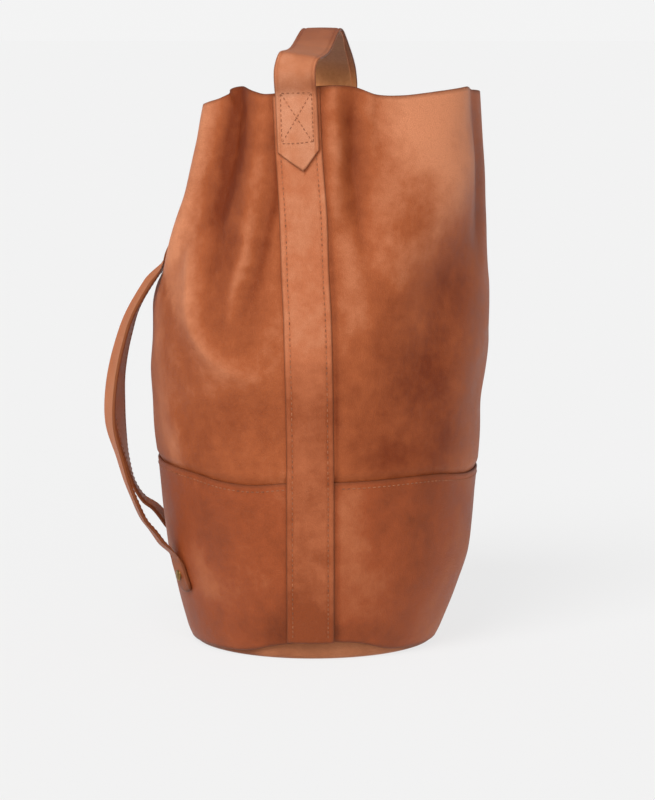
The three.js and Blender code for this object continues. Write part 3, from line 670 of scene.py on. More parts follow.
def noise_at(tree, place, scale, detail=2.0, rough=0.5, stretch=None):
    if stretch is not None:
        place = node(tree, "ShaderNodeMapping", {"Vector": place, "Scale": stretch}).outputs[0]
    inputs = {"Vector": place, "Scale": scale, "Detail": detail, "Roughness": rough}
    return node(tree, "ShaderNodeTexNoise", inputs).outputs["Fac"]


def ramp(tree, value, stops):
    made = node(tree, "ShaderNodeValToRGB", {"Fac": value})
    elements = made.color_ramp.elements
    while len(elements) < len(stops):
        elements.new(0.5)
    for element, (position, colour) in zip(elements, stops):
        element.position = position
        element.color = colour
    return made.outputs["Color"]


def maths(tree, operation, a, b, clamp=False):
    made = node(tree, "ShaderNodeMath", operation=operation, use_clamp=clamp)
    feed(tree, made.inputs[0], a)
    feed(tree, made.inputs[1], b)
    return made.outputs[0]


def blended(tree, a, share_a, b, share_b):
    """Two values added in these shares."""
    return maths(tree, "ADD", maths(tree, "MULTIPLY", a, share_a), maths(tree, "MULTIPLY", b, share_b))


def swing(tree, value, share):
    """A noise's swing about its mean, in a share."""
    return maths(tree, "MULTIPLY", maths(tree, "SUBTRACT", value, 0.5), share)


def mix_colour(tree, factor, a, b):
    made = node(tree, "ShaderNodeMix", data_type="RGBA")
    for key, value in ((MIX_FACTOR, factor), (MIX_A, a), (MIX_B, b)):
        feed(tree, made.inputs[key], value)
    return made.outputs[2]


def bumped(tree, principled, height, strength, distance):
    """Gives the shader fine relief, in metres."""
    bump = node(tree, "ShaderNodeBump", {"Height": height, "Strength": strength, "Distance": distance})
    tree.links.new(bump.outputs[0], principled.inputs["Normal"])


def attribute(tree, name):
    return node(tree, "ShaderNodeAttribute", attribute_name=name, attribute_type="GEOMETRY").outputs["Fac"]


LEATHER_ROUGHNESS = 0.5
WARM_GLINT = (1, 0.78, 0.58, 1)


def leather(name, *colours):
    """Vegetable-tanned leather: cloudy dye, paler or darker by the tone attribute, which carries the pull of
    folds and painted light and shade, fine pebbled grain, small wrinkles, and a darker burnished edge.

    The colours are the dye's dark, middle and pale parts and the edge.
    """
    dark, middle, light, edge_colour = (srgb(*colour) for colour in colours)
    material, tree, principled, place = new_material(name, Specular_IOR_Level=0.28, Specular_Tint=WARM_GLINT)
    cloud = noise_at(tree, place, 13, 4, 0.55)
    fleck = noise_at(tree, place, 95, 5, 0.65)
    dye = blended(tree, cloud, 0.68, fleck, 0.32)
    pull_and_shade = maths(tree, "ADD", dye, maths(tree, "MULTIPLY", attribute(tree, "tone"), 0.5))
    colour = ramp(tree, pull_and_shade, [(0.2, dark), (0.5, middle), (0.82, light)])

    scratches = noise_at(tree, place, 260, 3, 0.7, stretch=(1, 1, 0.22))
    marks = ramp(tree, scratches, [(0.6, BLACK), (0.78, WHITE)])
    colour = mix_colour(tree, maths(tree, "MULTIPLY", marks, 0.08), colour, light)
    worn = maths(tree, "MULTIPLY", attribute(tree, "edge"), 0.75)
    colour = mix_colour(tree, worn, colour, edge_colour)

    cells = node(tree, "ShaderNodeTexVoronoi", {"Vector": place, "Scale": 820.0}, feature="DISTANCE_TO_EDGE")
    pebbles = ramp(tree, cells.outputs["Distance"], [(0.0, BLACK), (0.16, WHITE)])
    wrinkles = noise_at(tree, place, 210, 4, 0.6)
    broad = noise_at(tree, place, 48, 3, 0.5)
    between = maths(tree, "MULTIPLY", maths(tree, "SUBTRACT", 1.0, pebbles), 0.2)
    tree.links.new(mix_colour(tree, between, colour, dark), principled.inputs["Base Color"])

    sheen = maths(tree, "ADD", swing(tree, fleck, 0.35), swing(tree, cloud, 0.25))
    roughness = maths(tree, "ADD", sheen, LEATHER_ROUGHNESS, clamp=True)
    tree.links.new(roughness, principled.inputs["Roughness"])

    normal = None
    layers = ((broad, 0.35, 0.0012), (wrinkles, 0.55, 0.0006), (pebbles, 0.5, 0.0003))
    for height, strength, distance in layers:
        inputs = {"Height": height, "Strength": strength, "Distance": distance}
        if normal is not None:
            inputs["Normal"] = normal
        normal = node(tree, "ShaderNodeBump", inputs).outputs[0]
    tree.links.new(normal, principled.inputs["Normal"])
    return material


def flesh_side(name, dark, light):
    """The bare underside of leather: matt, short fibres."""
    material, tree, principled, place = new_material(
        name, Specular_IOR_Level=0.2, Sheen_Weight=0.25, Roughness=0.93
    )
    fibres = noise_at(tree, place, 420, 4, 0.7, stretch=(1, 1, 0.35))
    cloud = noise_at(tree, place, 22, 4, 0.6)
    colour = ramp(tree, blended(tree, fibres, 0.5, cloud, 0.5), [(0.32, srgb(*dark)), (0.68, srgb(*light))])
    tree.links.new(colour, principled.inputs["Base Color"])
    bumped(tree, principled, fibres, 0.5, 0.0004)
    return material


def thread(name, colour, shade):
    """Waxed thread, twisted."""
    material, tree, principled, place = new_material(name, Roughness=0.55, Specular_IOR_Level=0.4)
    twist = node(tree, "ShaderNodeTexWave", {"Vector": place, "Scale": 900.0, "Distortion": 2.0})
    cloud = noise_at(tree, place, 300, 2)
    colours = [(0.35, srgb(*shade)), (0.65, srgb(*colour))]
    tree.links.new(ramp(tree, cloud, colours), principled.inputs["Base Color"])
    bumped(tree, principled, twist.outputs["Fac"], 0.3, 0.0002)
    return material


def metal(name, dark, light, roughness):
    """Handled metal: slightly tarnished, with fine scratches."""
    material, tree, principled, place = new_material(name, Metallic=1.0)
    tarnish = noise_at(tree, place, 160, 5, 0.7)
    colours = [(0.38, srgb(*dark)), (0.62, srgb(*light))]
    tree.links.new(ramp(tree, tarnish, colours), principled.inputs["Base Color"])
    rough = maths(tree, "ADD", maths(tree, "MULTIPLY", tarnish, 0.3), roughness - 0.15)
    tree.links.new(rough, principled.inputs["Roughness"])
    bumped(tree, principled, noise_at(tree, place, 1500, 3, 0.7, stretch=(1, 1, 0.1)), 0.08, 0.0001)
    return material


def fibre_board(name, dark, light):
    material, tree, principled, place = new_material(name, Roughness=0.9, Specular_IOR_Level=0.2)
    fibres = noise_at(tree, place, 350, 5, 0.75, stretch=(1, 0.3, 1))
    colours = [(0.35, srgb(*dark)), (0.65, srgb(*light))]
    tree.links.new(ramp(tree, fibres, colours), principled.inputs["Base Color"])
    bumped(tree, principled, fibres, 0.3, 0.0003)
    return material


PANEL = leather("panel leather", (112, 42, 9), (161, 83, 45), (206, 132, 94), (84, 38, 20))
CUFF = leather("cuff leather", (106, 43, 14), (151, 72, 37), (186, 112, 74), (92, 46, 26))
STRIP = leather("strip leather", (134, 62, 29), (182, 104, 67), (212, 147, 111), (104, 52, 28))
TAB = leather("handle leather", (140, 74, 46), (186, 114, 78), (212, 152, 120), (128, 70, 42))
STRAP = leather("strap leather", (120, 54, 20), (184, 100, 50), (200, 128, 88), (92, 46, 26))
BASE = leather("base leather", (124, 66, 38), (164, 100, 66), (190, 130, 94), (106, 60, 38))
FLESH = flesh_side("flesh side", (104, 62, 38), (150, 100, 66))
# Painted light: the handle lining's colours are very pale to stand in for light on its shaded inner face.
LINING = flesh_side("handle lining", (212, 128, 74), (240, 168, 112))
THREAD = thread("tan thread", (166, 102, 65), (118, 66, 38))
BRASS = metal("antique brass", (104, 78, 42), (164, 128, 74), 0.36)
STEEL = metal("nickel plate", (150, 148, 144), (196, 195, 192), 0.3)
BOARD = fibre_board("fibre board", (118, 96, 70), (160, 138, 108))

# ---------------------------------------------------------------- the bag's walls


def piece(obj, body, slot, *nodes):
    """Puts a finished piece on its body and hides the CAD nodes it stands for; the slot for its finish is not
    used.
    """
    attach(obj, body)
    if nodes:
        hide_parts(*nodes)
    return obj


PANEL_COLUMNS, PANEL_ROWS, CUFF_ROWS = 168, 128, 62
SEAM_GAP = math.radians(0.6)
FULL_TONE_RELIEF = 14  # leather that stands out this far is one whole tone paler, and sunk this far one darker: partly the pull of the leather, partly painted light and shade
SEAM_SHADOW_FRONT, SEAM_SHADOW_BACK, SEAM_SHADOW_WIDTH = 0.35, 0.15, 2.4  # the painted shadow beside the strips
DARKEST, PALEST = -0.7, 0.6


def half_turn(half, columns):
    """Angles across the front or the back half, from seam to seam."""
    start = -math.pi / 2 if half == "front" else math.pi / 2
    return np.linspace(start + SEAM_GAP, start + math.pi - SEAM_GAP, columns)


def pull_and_shade_tone(angle, z):
    """Crests are painted paler and hollows darker, partly the pull of the leather and partly painted shade;
    the listed patches paint light and shade; and a painted shadow lies beside the strips.
    """
    angle, z = np.broadcast_arrays(np.asarray(angle, float), np.asarray(z, float))
    share = smooth(z, 138, 150)
    points = wall(angle, z)
    painted_shading = folds(points, PAINTED_SHADING) * share + folds(points, CUFF_PAINTED_SHADING) * (1 - share)
    side = np.where(np.sin(angle) < 0, LEFT, RIGHT)
    beside = points[..., 0] - section(CENTRE, z) - section(TWIST, z) * side
    # Painted shadow along each strip's edges, stronger on its front edge.
    seam = SEAM_SHADOW_FRONT * bell(beside, STRIP_WIDTH / 2 + 1, SEAM_SHADOW_WIDTH)
    seam = seam + SEAM_SHADOW_BACK * bell(beside, -STRIP_WIDTH / 2 - 1, SEAM_SHADOW_WIDTH)
    return np.clip(relief(angle, z) / FULL_TONE_RELIEF + painted_shading - seam, DARKEST, PALEST)


def wall_sheet(name, half, surface, bottom, top, rows, materials):
    """Half of the wall, between a bottom and a top that are heights round the bag."""
    angle = half_turn(half, PANEL_COLUMNS)[None]
    share = np.linspace(0, 1, rows)[:, None]
    z = bottom(angle) + (top(angle) - bottom(angle)) * share
    angle = np.broadcast_to(angle, z.shape)
    return leather_sheet(name, surface(angle, z), surface(angle, z, -LEATHER), materials, pull_and_shade_tone(angle, z))


def panel_hem(angle):
    return np.full_like(angle, PANEL_HEM)


for half in ("front", "back"):
    panel = wall_sheet(f"panel_{half}", half, panel_surface, panel_hem, rim, PANEL_ROWS, [PANEL, FLESH])
    piece(panel, "bag", "panel_leather", f"upper_panel_{half}")
    cuff = wall_sheet(f"cuff_{half}", half, cuff_surface, cuff_hem, cuff_top, CUFF_ROWS, [CUFF, FLESH])
    piece(cuff, "bag", "cuff_leather", f"lower_cuff_{half}")

# ---------------------------------------------------------------- side strips


def both_edges(edge, middle):
    """Places across a strap from -1 to 1: an edge's own places, the middle's, and the edge's mirrored."""
    edge = np.array(edge)
    return np.concatenate([edge, middle, -edge[::-1]])


STRIP_EDGE = [-1, -0.955, -0.905, -0.86, -0.815, -0.77, -0.72]
STRIP_COLUMNS = both_edges(STRIP_EDGE, np.linspace(-0.66, 0.66, 25)) * STRIP_WIDTH / 2
STRIP_ROWS = 300
STITCH_INSET = 4.0
GROOVE_DEPTH, GROOVE_WIDTH = 0.3, 0.9
PRESS_DEPTH, PRESS_FROM = 0.3, 0.93  # the pressed edge starts at this share of the half width
TOP_RISE = 5  # how far a strip's end stands above the mean rim
BACK_SLANT, BACK_SLANT_WIDTH = 8, 10
FRONT_EASE, FRONT_EASE_WIDTH = 1.5, 4


def strip_face(side, x, z, offset):
    """A strip's face: its middle stands a little proud, its edges are pressed down, and a shallow groove
    runs under each row of stitches."""
    x = np.asarray(x, float)
    edge = np.abs(x) / (STRIP_WIDTH / 2)
    groove = GROOVE_DEPTH * bell(np.abs(x), STRIP_WIDTH / 2 - STITCH_INSET, GROOVE_WIDTH)
    crown = STRIP_CROWN * (1 - edge**2) - PRESS_DEPTH * smooth(edge, PRESS_FROM, 1)
    return strip_surface(side, x, z, offset + crown - groove)


def strip_top(side, x):
    """The strip's upper end, cut off at a slant on its back corner and eased on its front one."""
    x = np.asarray(x, float)
    level = RIM_HEIGHT - RIM_TILT_LEFT * side + TOP_RISE
    slant = BACK_SLANT * smooth(-x, STRIP_WIDTH / 2 - BACK_SLANT_WIDTH, STRIP_WIDTH / 2)
    return level - slant - FRONT_EASE * smooth(x, STRIP_WIDTH / 2 - FRONT_EASE_WIDTH, STRIP_WIDTH / 2)


def tab_shadow(x, z):
    """1 in the crease that a tab's front edge and the front half of its point press into the strip."""
    under = (tab_point(x) - z) * TAB_CUT_COSINE
    beside = x - HANDLE_WIDTH / 2
    return bell(np.maximum(under, beside), 0.6, 1.6) * (x > TIP_SHIFT)


def strip_tone(side, x, z):
    """Painted light and shade: paler on crests and in the upper half, darker in hollows, at the foot and
    along the stitch grooves, with a painted shadow under the tab.
    """
    tone = np.clip(relief(beside_strip(side, x, z), z) / FULL_TONE_RELIEF, -0.3, 0.3) - 0.52
    tone += 0.45 * smooth(z, 182, 282) + 0.2 * smooth(z, 0, 110)
    tone -= 0.55 * bell(z, 22, 14) + 0.17 * bell(z, 112, 34)
    tone -= 0.12 * bell(np.abs(x), STRIP_WIDTH / 2 - STITCH_INSET, GROOVE_WIDTH)
    return tone - 0.6 * tab_shadow(x, z)


def build_strip(side, label):
    x = STRIP_COLUMNS[None]
    low = cuff_hem(side * math.pi / 2) - 0.5
    z = low + (strip_top(side, x) - low) * np.linspace(0, 1, STRIP_ROWS)[:, None]
    x = np.broadcast_to(x, z.shape)
    outer, inner = strip_face(side, x, z, STRIP_FACE), strip_surface(side, x, z, STRIP_BASE)
    strip = leather_sheet(f"strip_{label}", outer, inner, [STRIP, FLESH], strip_tone(side, x, z))
    piece(strip, "bag", "strip_leather", f"side_strip_{label}")


for side, label in SIDES:
    build_strip(side, label)

# ---------------------------------------------------------------- base

BASE_INSET = 2.5
TRAY_FLANGE = 19
FOOT_LEVEL = 6  # the wall's outline at this height is the base's
DISC_POINTS = 160
PLATE_CORE = 60  # inset of a flat face's inner ring
BOARD_PLATE = (3.35, 5.85, 8.5)  # the lower and upper faces' heights, and the edge's inset
LINING_PLATE = (6.1, 7.4, 7.2)


def disc(name, profile, materials, tone=None):
    """A closed oval piece from (height, inset from the wall at its foot) rings, from its top's middle round
    to its underside's middle. tone gives each point's tone from the points."""
    foot = wall(np.arange(DISC_POINTS) * 2 * math.pi / DISC_POINTS, FOOT_LEVEL)[:, :2]
    radius = np.linalg.norm(foot, axis=1, keepdims=True)
    rings = [np.column_stack([foot * (1 - inset / radius), np.full(DISC_POINTS, z)]) for z, inset in profile]
    vertices = np.vstack(rings + [[[0, 0, profile[0][0]], [0, 0, profile[-1][0]]]])
    faces = [group[:, ::-1] for group in ring_faces(len(rings), DISC_POINTS)]
    return build_mesh(name, vertices, faces, materials, tone=None if tone is None else tone(vertices))


def tray_shadow_tone(points):
    """Painted shadow: the lip under the left side is plain in its middle and darker towards its ends, where
    the contact shadow falls.
    """
    return -0.7 * smooth(np.abs(points[:, 0] - 13), 44, 68)


def tray_profile():
    """The base leather: flat, its edge turned up inside the cuff."""
    inset, top = BASE_INSET, TRAY_FLANGE
    inside = [(3, PLATE_CORE), (3, 20), (3.2, inset + 5), (4.2, inset + 3), (7, inset + 2.2)]
    lip = [(top - 1, inset + 1.8), (top - 0.2, inset + 1.3), (top, inset + 0.8), (top - 0.4, inset + 0.1)]
    outside = [(top - 1.5, inset - 0.3), (9, inset), (5, inset + 0.3), (2.4, inset + 1), (0.9, inset + 2.4)]
    return inside + lip + outside + [(0.2, inset + 4.4), (0, inset + 7), (0, 30), (0, PLATE_CORE)]


def plate_profile(low, high, inset):
    """A flat sheet between two heights, its edges eased."""
    soft = (high - low) * 0.3
    top = [(high, PLATE_CORE), (high, inset + soft), (high - soft, inset)]
    return top + [(low + soft, inset), (low, inset + soft), (low, PLATE_CORE)]


tray = disc("base_tray", tray_profile(), [BASE], tray_shadow_tone)
piece(tray, "bag", "base_leather", "base_pan")
board = disc("base_board_sheet", plate_profile(*BOARD_PLATE), [BOARD])
piece(board, "bag", "base_board", "base_board")
cover = disc("base_lining_sheet", plate_profile(*LINING_PLATE), [FLESH])
piece(cover, "bag", "lining_leather", "base_lining")

# ---------------------------------------------------------------- handle

ROOT_LEFT = np.array([-12.6, -111.5, 441])
ROOT_RIGHT = np.array([21, 111.5, 436])
HANDLE_AXIS = unit(ROOT_RIGHT - ROOT_LEFT)
HANDLE_ACROSS = unit(np.array([HANDLE_AXIS[1], -HANDLE_AXIS[0], 0]))
HANDLE_UP = np.cross(HANDLE_ACROSS, HANDLE_AXIS)
TAB_GAP = 0.15

# The inner face of the handle's strap between its legs, as (distance along the line between its roots,
# height above it, roll in degrees with the front edge lower, and a shift towards the front).
HANDLE_PATH = [
    (-2.6, 6, 0, 0),
    (-2.4, 13, 2, 0.5),
    (-0.6, 18.6, 7, 2),
    (6, 21.2, 9, 3),
    (34, 22.8, 7, 2.5),
    (60, 25.4, 5, 1.5),
    (84, 30.2, 3, 0.5),
    (104, 35.8, 1, 0),
    (120, 40.4, 0, 0),
    (132, 42.2, 0, 0),
    (145, 40.6, 0, 0),
    (160, 35.6, 0, 0),
    (176, 29.4, 0, 0),
    (191, 23.6, 0, 0),
    (203, 18.4, 0, 0),
    (212.5, 12, 0, 0),
    (218.5, 4.5, 0, 0),
    (221.5, -3, 0, 0),
]
TAB_LEVELS = np.arange(TAB_TIP, 426, 1.6)
JOIN_LOW, JOIN_HIGH = 424, 442  # the tab's surface turns into the free leg between these heights
LEG_START = {LEFT: 432, RIGHT: 428}  # where each leg leaves its strip
BRIDGE_ROWS = 170


def strip_middle(side, z):
    """Where a side strip's centre line lies, at the handle's inner face."""
    return strip_surface(side, 0.0, z, STRIP_FACE + STRIP_CROWN + TAB_GAP)


def handle_curve():
    """Centre, roll and shift of every cross-row of the handle, from the left tab's tip to the right's."""
    left = [(*strip_middle(LEFT, z), 0, 0) for z in TAB_LEVELS]
    right = [(*strip_middle(RIGHT, z), 0, 0) for z in TAB_LEVELS[::-1]]
    free = []
    for along, up, roll, shift in HANDLE_PATH:
        free.append((*(ROOT_LEFT + HANDLE_AXIS * along + HANDLE_UP * up), roll, shift))
    start, end = ((*strip_middle(side, LEG_START[side]), 0, 0) for side in (LEFT, RIGHT))
    bridge = resample(spline([left[-1], start, *free, end, right[0]], 8), BRIDGE_ROWS)
    return np.vstack([left[:-1], bridge, right[1:]])


HANDLE_ROWS = handle_curve()


def handle_frames():
    """The middle of every cross-row, its direction towards the front and its direction out."""
    centre = HANDLE_ROWS[:, :3]
    tangent = unit(np.gradient(centre, axis=0))
    free = smooth(centre[:, 2], 440, 458)[:, None]
    across = np.array([1, 0, 0]) * (1 - free) + HANDLE_ACROSS * free
    across = unit(across - tangent * np.sum(across * tangent, -1, keepdims=True))
    out = np.cross(across, tangent)
    roll = np.radians(HANDLE_ROWS[:, 3])[:, None]
    rolled = across * np.cos(roll) - out * np.sin(roll)
    out = out * np.cos(roll) + across * np.sin(roll)
    return centre + rolled * HANDLE_ROWS[:, 4:5], rolled, out


HANDLE_CENTRE, HANDLE_SIDEWAYS, HANDLE_OUT = handle_frames()
LEG_ROWS = len(TAB_LEVELS) + 6  # rows from a tab's tip that rise steadily
TIP_LENGTH = 21.0  # the rows spread out again within this height above the tip
CREASE_DEPTH, CREASE_INSET = 0.5, 2.6  # a line pressed along each edge
HANDLE_ARCH = 0.0022  # how much the strap curls down towards its edges
FAR_SPREAD, FAR_SLIDE = 0.13, -2.1  # the right leg is a little wider, and slid to the back
FAR_FROM, FAR_FULL = 165, 179
FAR_TO = len(HANDLE_ROWS) - len(TAB_LEVELS) + 4
FAR_FADE = FAR_TO - 8


def handle_surface(row, x, offset=0.0):
    """A point of the handle at a cross-row, a distance x across it and an offset out from its inner face."""
    row, x, offset = np.broadcast_arrays(np.asarray(row, float), np.asarray(x, float), offset)
    rows = np.arange(len(HANDLE_CENTRE))
    centre, sideways, out = (
        read_table(table, rows, row) for table in (HANDLE_CENTRE, HANDLE_SIDEWAYS, HANDLE_OUT)
    )
    far = smooth(row, FAR_FROM, FAR_FULL) * (1 - smooth(row, FAR_FADE, FAR_TO))
    lie = x * (1 + FAR_SPREAD * far) + FAR_SLIDE * far
    crease = CREASE_DEPTH * bell(np.abs(x), HANDLE_WIDTH / 2 - CREASE_INSET, 0.7) * (offset > 0)
    free = centre + sideways * lie[..., None] + out * (offset - crease - HANDLE_ARCH * x**2)[..., None]
    level = centre[..., 2]
    point = free.copy()
    for side in (LEFT, RIGHT):
        tab = (level < JOIN_HIGH) & (centre[..., 1] * side > 0)
        if not tab.any():
            continue
        along, z = x[tab], level[tab]
        z = z + (tab_point(along) - TAB_TIP) * np.clip(1 - (z - TAB_TIP) / TIP_LENGTH, 0, 1)
        on_strip = strip_face(side, along, z, STRIP_FACE + TAB_GAP + offset[tab])
        share = smooth(level[tab], JOIN_LOW, JOIN_HIGH)[..., None]
        point[tab] = on_strip * (1 - share) + free[tab] * share
    return point


HANDLE_COLUMNS = both_edges([-1, -0.965, -0.92, -0.876, -0.83, -0.78], np.linspace(-0.66, 0.66, 9))


def handle_grid(half_width, low, high, rows, shift=0.0):
    """The outer and inner grids of a layer of the handle, and each point's distance across it. shift moves
    the rows sideways."""
    shape = (len(rows), len(HANDLE_COLUMNS))
    x = np.broadcast_to(HANDLE_COLUMNS[None] * half_width, shape) + np.reshape(shift, (-1, 1))
    row = np.broadcast_to(rows[:, None], shape)
    return handle_surface(row, x, high), handle_surface(row, x, low), x


def handle_tone(z, x):
    """Darker on the arch, with painted shade along the creases and at the front edge of the tabs."""
    tone = 0.2 - 0.2 * smooth(z, 432, 444) - 0.35 * smooth(z, 462, 474)
    tone -= 0.2 * bell(np.abs(x), HANDLE_WIDTH / 2 - CREASE_INSET, 1.0)
    return tone - 0.3 * smooth(x, 11, 15) * (1 - smooth(z, 436, 446))


def handle_piece(obj, slot, *nodes):
    """Bakes the piece's placement into its mesh and hides the CAD nodes it stands for."""
    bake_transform(obj)
    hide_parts(*nodes)


STRAP_SIDE, LINING_SIDE = 0.8, 2.2  # how far the sheets stop short of the handle's edges
LINING_LOW, LINING_HIGH = -1.4, -0.1  # offsets of the lining's faces
LINING_LEVEL = 430  # the lining's ends are tucked in at this height
LINING_SLIDE = -2.6  # how far it shows past the strap's back edge on the right leg
SLIDE_FROM, SLIDE_FULL = 0.62, 0.72  # where it starts to, and has, as shares of the handle's length


def build_handle():
    rows = np.arange(len(HANDLE_ROWS), dtype=float)
    outer, inner, x = handle_grid(HANDLE_WIDTH / 2 - STRAP_SIDE, 0, HANDLE_THICKNESS, rows)
    strap = leather_sheet("handle_strap_leather", outer, inner, [TAB, LINING], handle_tone(outer[..., 2], x))
    handle_piece(strap, "strip_leather", "handle_strap", "handle_end_left", "handle_end_right")

    first = int(np.argmax(HANDLE_CENTRE[:, 2] > LINING_LEVEL))
    last = len(rows) - int(np.argmax(HANDLE_CENTRE[::-1, 2] > LINING_LEVEL))
    rows = rows[first:last]
    slide = LINING_SLIDE * smooth(rows, len(HANDLE_ROWS) * SLIDE_FROM, len(HANDLE_ROWS) * SLIDE_FULL)
    outer, inner, _ = handle_grid(HANDLE_WIDTH / 2 - LINING_SIDE, LINING_LOW, LINING_HIGH, rows, slide)
    lining = leather_sheet("handle_lining_leather", outer, inner, [LINING, LINING])
    handle_piece(lining, "lining_leather", "handle_lining")


build_handle()

# ---------------------------------------------------------------- shoulder straps

STRAP_TOP_Z, LIFT_TOP_Z, LIFT_BOTTOM_Z, STRAP_END_Z = 402, 289, 79, 46
STRAP_TOP_Y, LIFT_TOP_Y, LIFT_BOTTOM_Y, STRAP_END_Y = 16, 25, 45, 46
STRAP_GAP = 0.3
LIE = STRAP_GAP + STRAP_THICKNESS / 2  # offset of a lying strap's middle layer
LIE_ABOVE, LIE_BELOW = 26, 14  # the lying rows end this far from where the strap lifts
TOP_TURN, END_TURN = 12, 23  # how far the lying ends are turned outwards, in degrees
STRAP_ROWS = 200
STRAP_CURL = 0.002
END_TAPER = 0.3  # how much narrower the straps' lower ends are
END_ROUND = 9  # how much the last row is rounded
EDGE_ROUND = 1.2  # the rounded edges stand out this far from the sheet's faces

# Each strap's free arch, as (x, distance from the middle of the back, height, turn outwards in degrees).
ARCH_UPPER = [(-138.5, 28, 268, 13), (-150, 31, 238, 16), (-156.5, 36, 206, 18), (-157, 41.5, 176, 17)]
ARCH_LOWER = {
    LEFT: [(-149.8, 43, 150, 13), (-144.8, 44, 133, 12), (-138.8, 44.8, 117.5, 12), (-131.8, 45, 102, 14),
           (-123, 45, 90.5, 18)],
    RIGHT: [(-154, 43, 151, 8), (-150.5, 44, 134, 0), (-145.5, 44.8, 116.5, -4), (-137.5, 45, 103.5, -2),
            (-125.5, 45, 94, 8)],
}


def on_back_wall(y, z, offset):
    """A point on the back, at a distance y from its middle, where the straps and the hanger patch lie."""
    angle = on_back(y, z)
    return wall(angle, z, offset + relief(angle, z))


def strap_rows(side):
    """The centre of every cross-row of a strap, with the turn of its face in degrees."""
    rows = []
    for z in np.linspace(STRAP_TOP_Z, LIFT_TOP_Z + LIE_ABOVE, 20):
        share = (STRAP_TOP_Z - z) / (STRAP_TOP_Z - LIFT_TOP_Z)
        y = side * (STRAP_TOP_Y + (LIFT_TOP_Y - STRAP_TOP_Y) * share)
        rows.append((*on_back_wall(y, z, LIE), TOP_TURN))
    for x, y, z, turn in ARCH_UPPER + ARCH_LOWER[side]:
        rows.append((x, side * y, z, turn))
    for z in np.linspace(LIFT_BOTTOM_Z - LIE_BELOW, STRAP_END_Z, 6):
        share = (LIFT_BOTTOM_Z - z) / (LIFT_BOTTOM_Z - STRAP_END_Z)
        y = side * (LIFT_BOTTOM_Y + (STRAP_END_Y - LIFT_BOTTOM_Y) * share)
        rows.append((*on_back_wall(y, z, LIE), END_TURN))
    return resample(spline(rows, 6), STRAP_ROWS)


def strap_surface(side, table):
    """The function that gives a strap's points."""
    centre, turn = table[:, :3], np.radians(table[:, 3])
    tangent = unit(np.gradient(centre, axis=0))
    across = np.stack([np.sin(turn), side * np.cos(turn), np.zeros_like(turn)], -1)
    across = unit(across - tangent * np.sum(across * tangent, -1, keepdims=True))
    out = unit(np.cross(tangent, across) * side)
    free = smooth(centre[:, 2], LIFT_BOTTOM_Z - LIE_BELOW, LIFT_BOTTOM_Z + 6)
    free = free * (1 - smooth(centre[:, 2], LIFT_TOP_Z - 4, LIFT_TOP_Z + 22))
    rows = np.arange(STRAP_ROWS)

    def surface(row, x, offset=0.0):
        """x is towards the strap's own side of the bag, and offset from the middle of its thickness."""
        row, x, offset = np.broadcast_arrays(np.asarray(row, float), np.asarray(x, float), offset)
        middle, sideways, outwards = (read_table(part, rows, row) for part in (centre, across, out))
        share = np.interp(row, rows, free)[..., None]
        x = x * (1 - END_TAPER * smooth(row, STRAP_ROWS - 48, STRAP_ROWS - 22))
        end = smooth(row, STRAP_ROWS - 16, STRAP_ROWS - 1)
        z = middle[..., 2] + end * END_ROUND * (x / (STRAP_WIDTH / 2)) ** 2
        lying = on_back_wall(middle[..., 1] + side * x, z, LIE + offset)
        hanging = middle + sideways * x[..., None] + outwards * (offset - STRAP_CURL * x**2)[..., None]
        return lying * (1 - share) + hanging * share

    return surface


strap_surfaces = {side: strap_surface(side, strap_rows(side)) for side in (LEFT, RIGHT)}


def strap_piece(obj):
    """Bakes the piece's placement into its mesh."""
    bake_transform(obj)


def build_strap(side, label):
    columns = both_edges([-1, -0.96, -0.88, -0.76], np.linspace(-0.6, 0.6, 7))
    x = np.broadcast_to(columns[None] * (STRAP_WIDTH / 2 - EDGE_ROUND), (STRAP_ROWS, len(columns)))
    row = np.broadcast_to(np.arange(STRAP_ROWS, dtype=float)[:, None], x.shape)
    # Painted shade: darker towards the strap's lower end.
    tone = -0.4 * smooth(row, STRAP_ROWS - 60, STRAP_ROWS - 30)
    outer = strap_surfaces[side](row, x, STRAP_THICKNESS / 2)
    inner = strap_surfaces[side](row, x, -STRAP_THICKNESS / 2)
    strap = leather_sheet(f"shoulder_strap_leather_{label}", outer, inner, [STRAP], tone)
    strap_piece(strap)
    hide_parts(f"shoulder_strap_{label}", f"strap_upper_end_{label}", f"strap_lower_end_{label}")


for side, label in SIDES:
    build_strap(side, label)

# ---------------------------------------------------------------- hanger patch

HANGER_TOP, HANGER_HEIGHT, HANGER_WIDTH, HANGER_THICKNESS = 405, 50, 64, 2.0
HANGER_CORNER = 5
HANGER_GAP = 0.2


def hanger_surface(y, z, offset):
    return on_back_wall(y, z, STRAP_GAP + STRAP_THICKNESS + HANGER_GAP + offset)


def build_hanger():
    y = np.linspace(-0.5, 0.5, 36)[None] * HANGER_WIDTH
    corner = HANGER_CORNER * smooth(np.abs(y), HANGER_WIDTH / 2 - HANGER_CORNER, HANGER_WIDTH / 2)
    share = np.linspace(0, 1, 30)[:, None]
    z = HANGER_TOP - HANGER_HEIGHT + corner + share * (HANGER_HEIGHT - 2 * corner)
    y = np.broadcast_to(y, z.shape)
    outer, inner = hanger_surface(y, z, HANGER_THICKNESS), hanger_surface(y, z, 0)
    patch = leather_sheet("hanger_patch", outer, inner, [STRIP, FLESH])
    piece(patch, "bag", "strap_leather", "strap_hanger_patch")


build_hanger()

# ---------------------------------------------------------------- stitches


def stitch_line(surface, *where):
    """A row of stitches at arrays of a surface's coordinates, the last of which is the offset."""
    at = surface(*where)
    return at, unit(surface(*where[:-1], where[-1] + 1) - at)


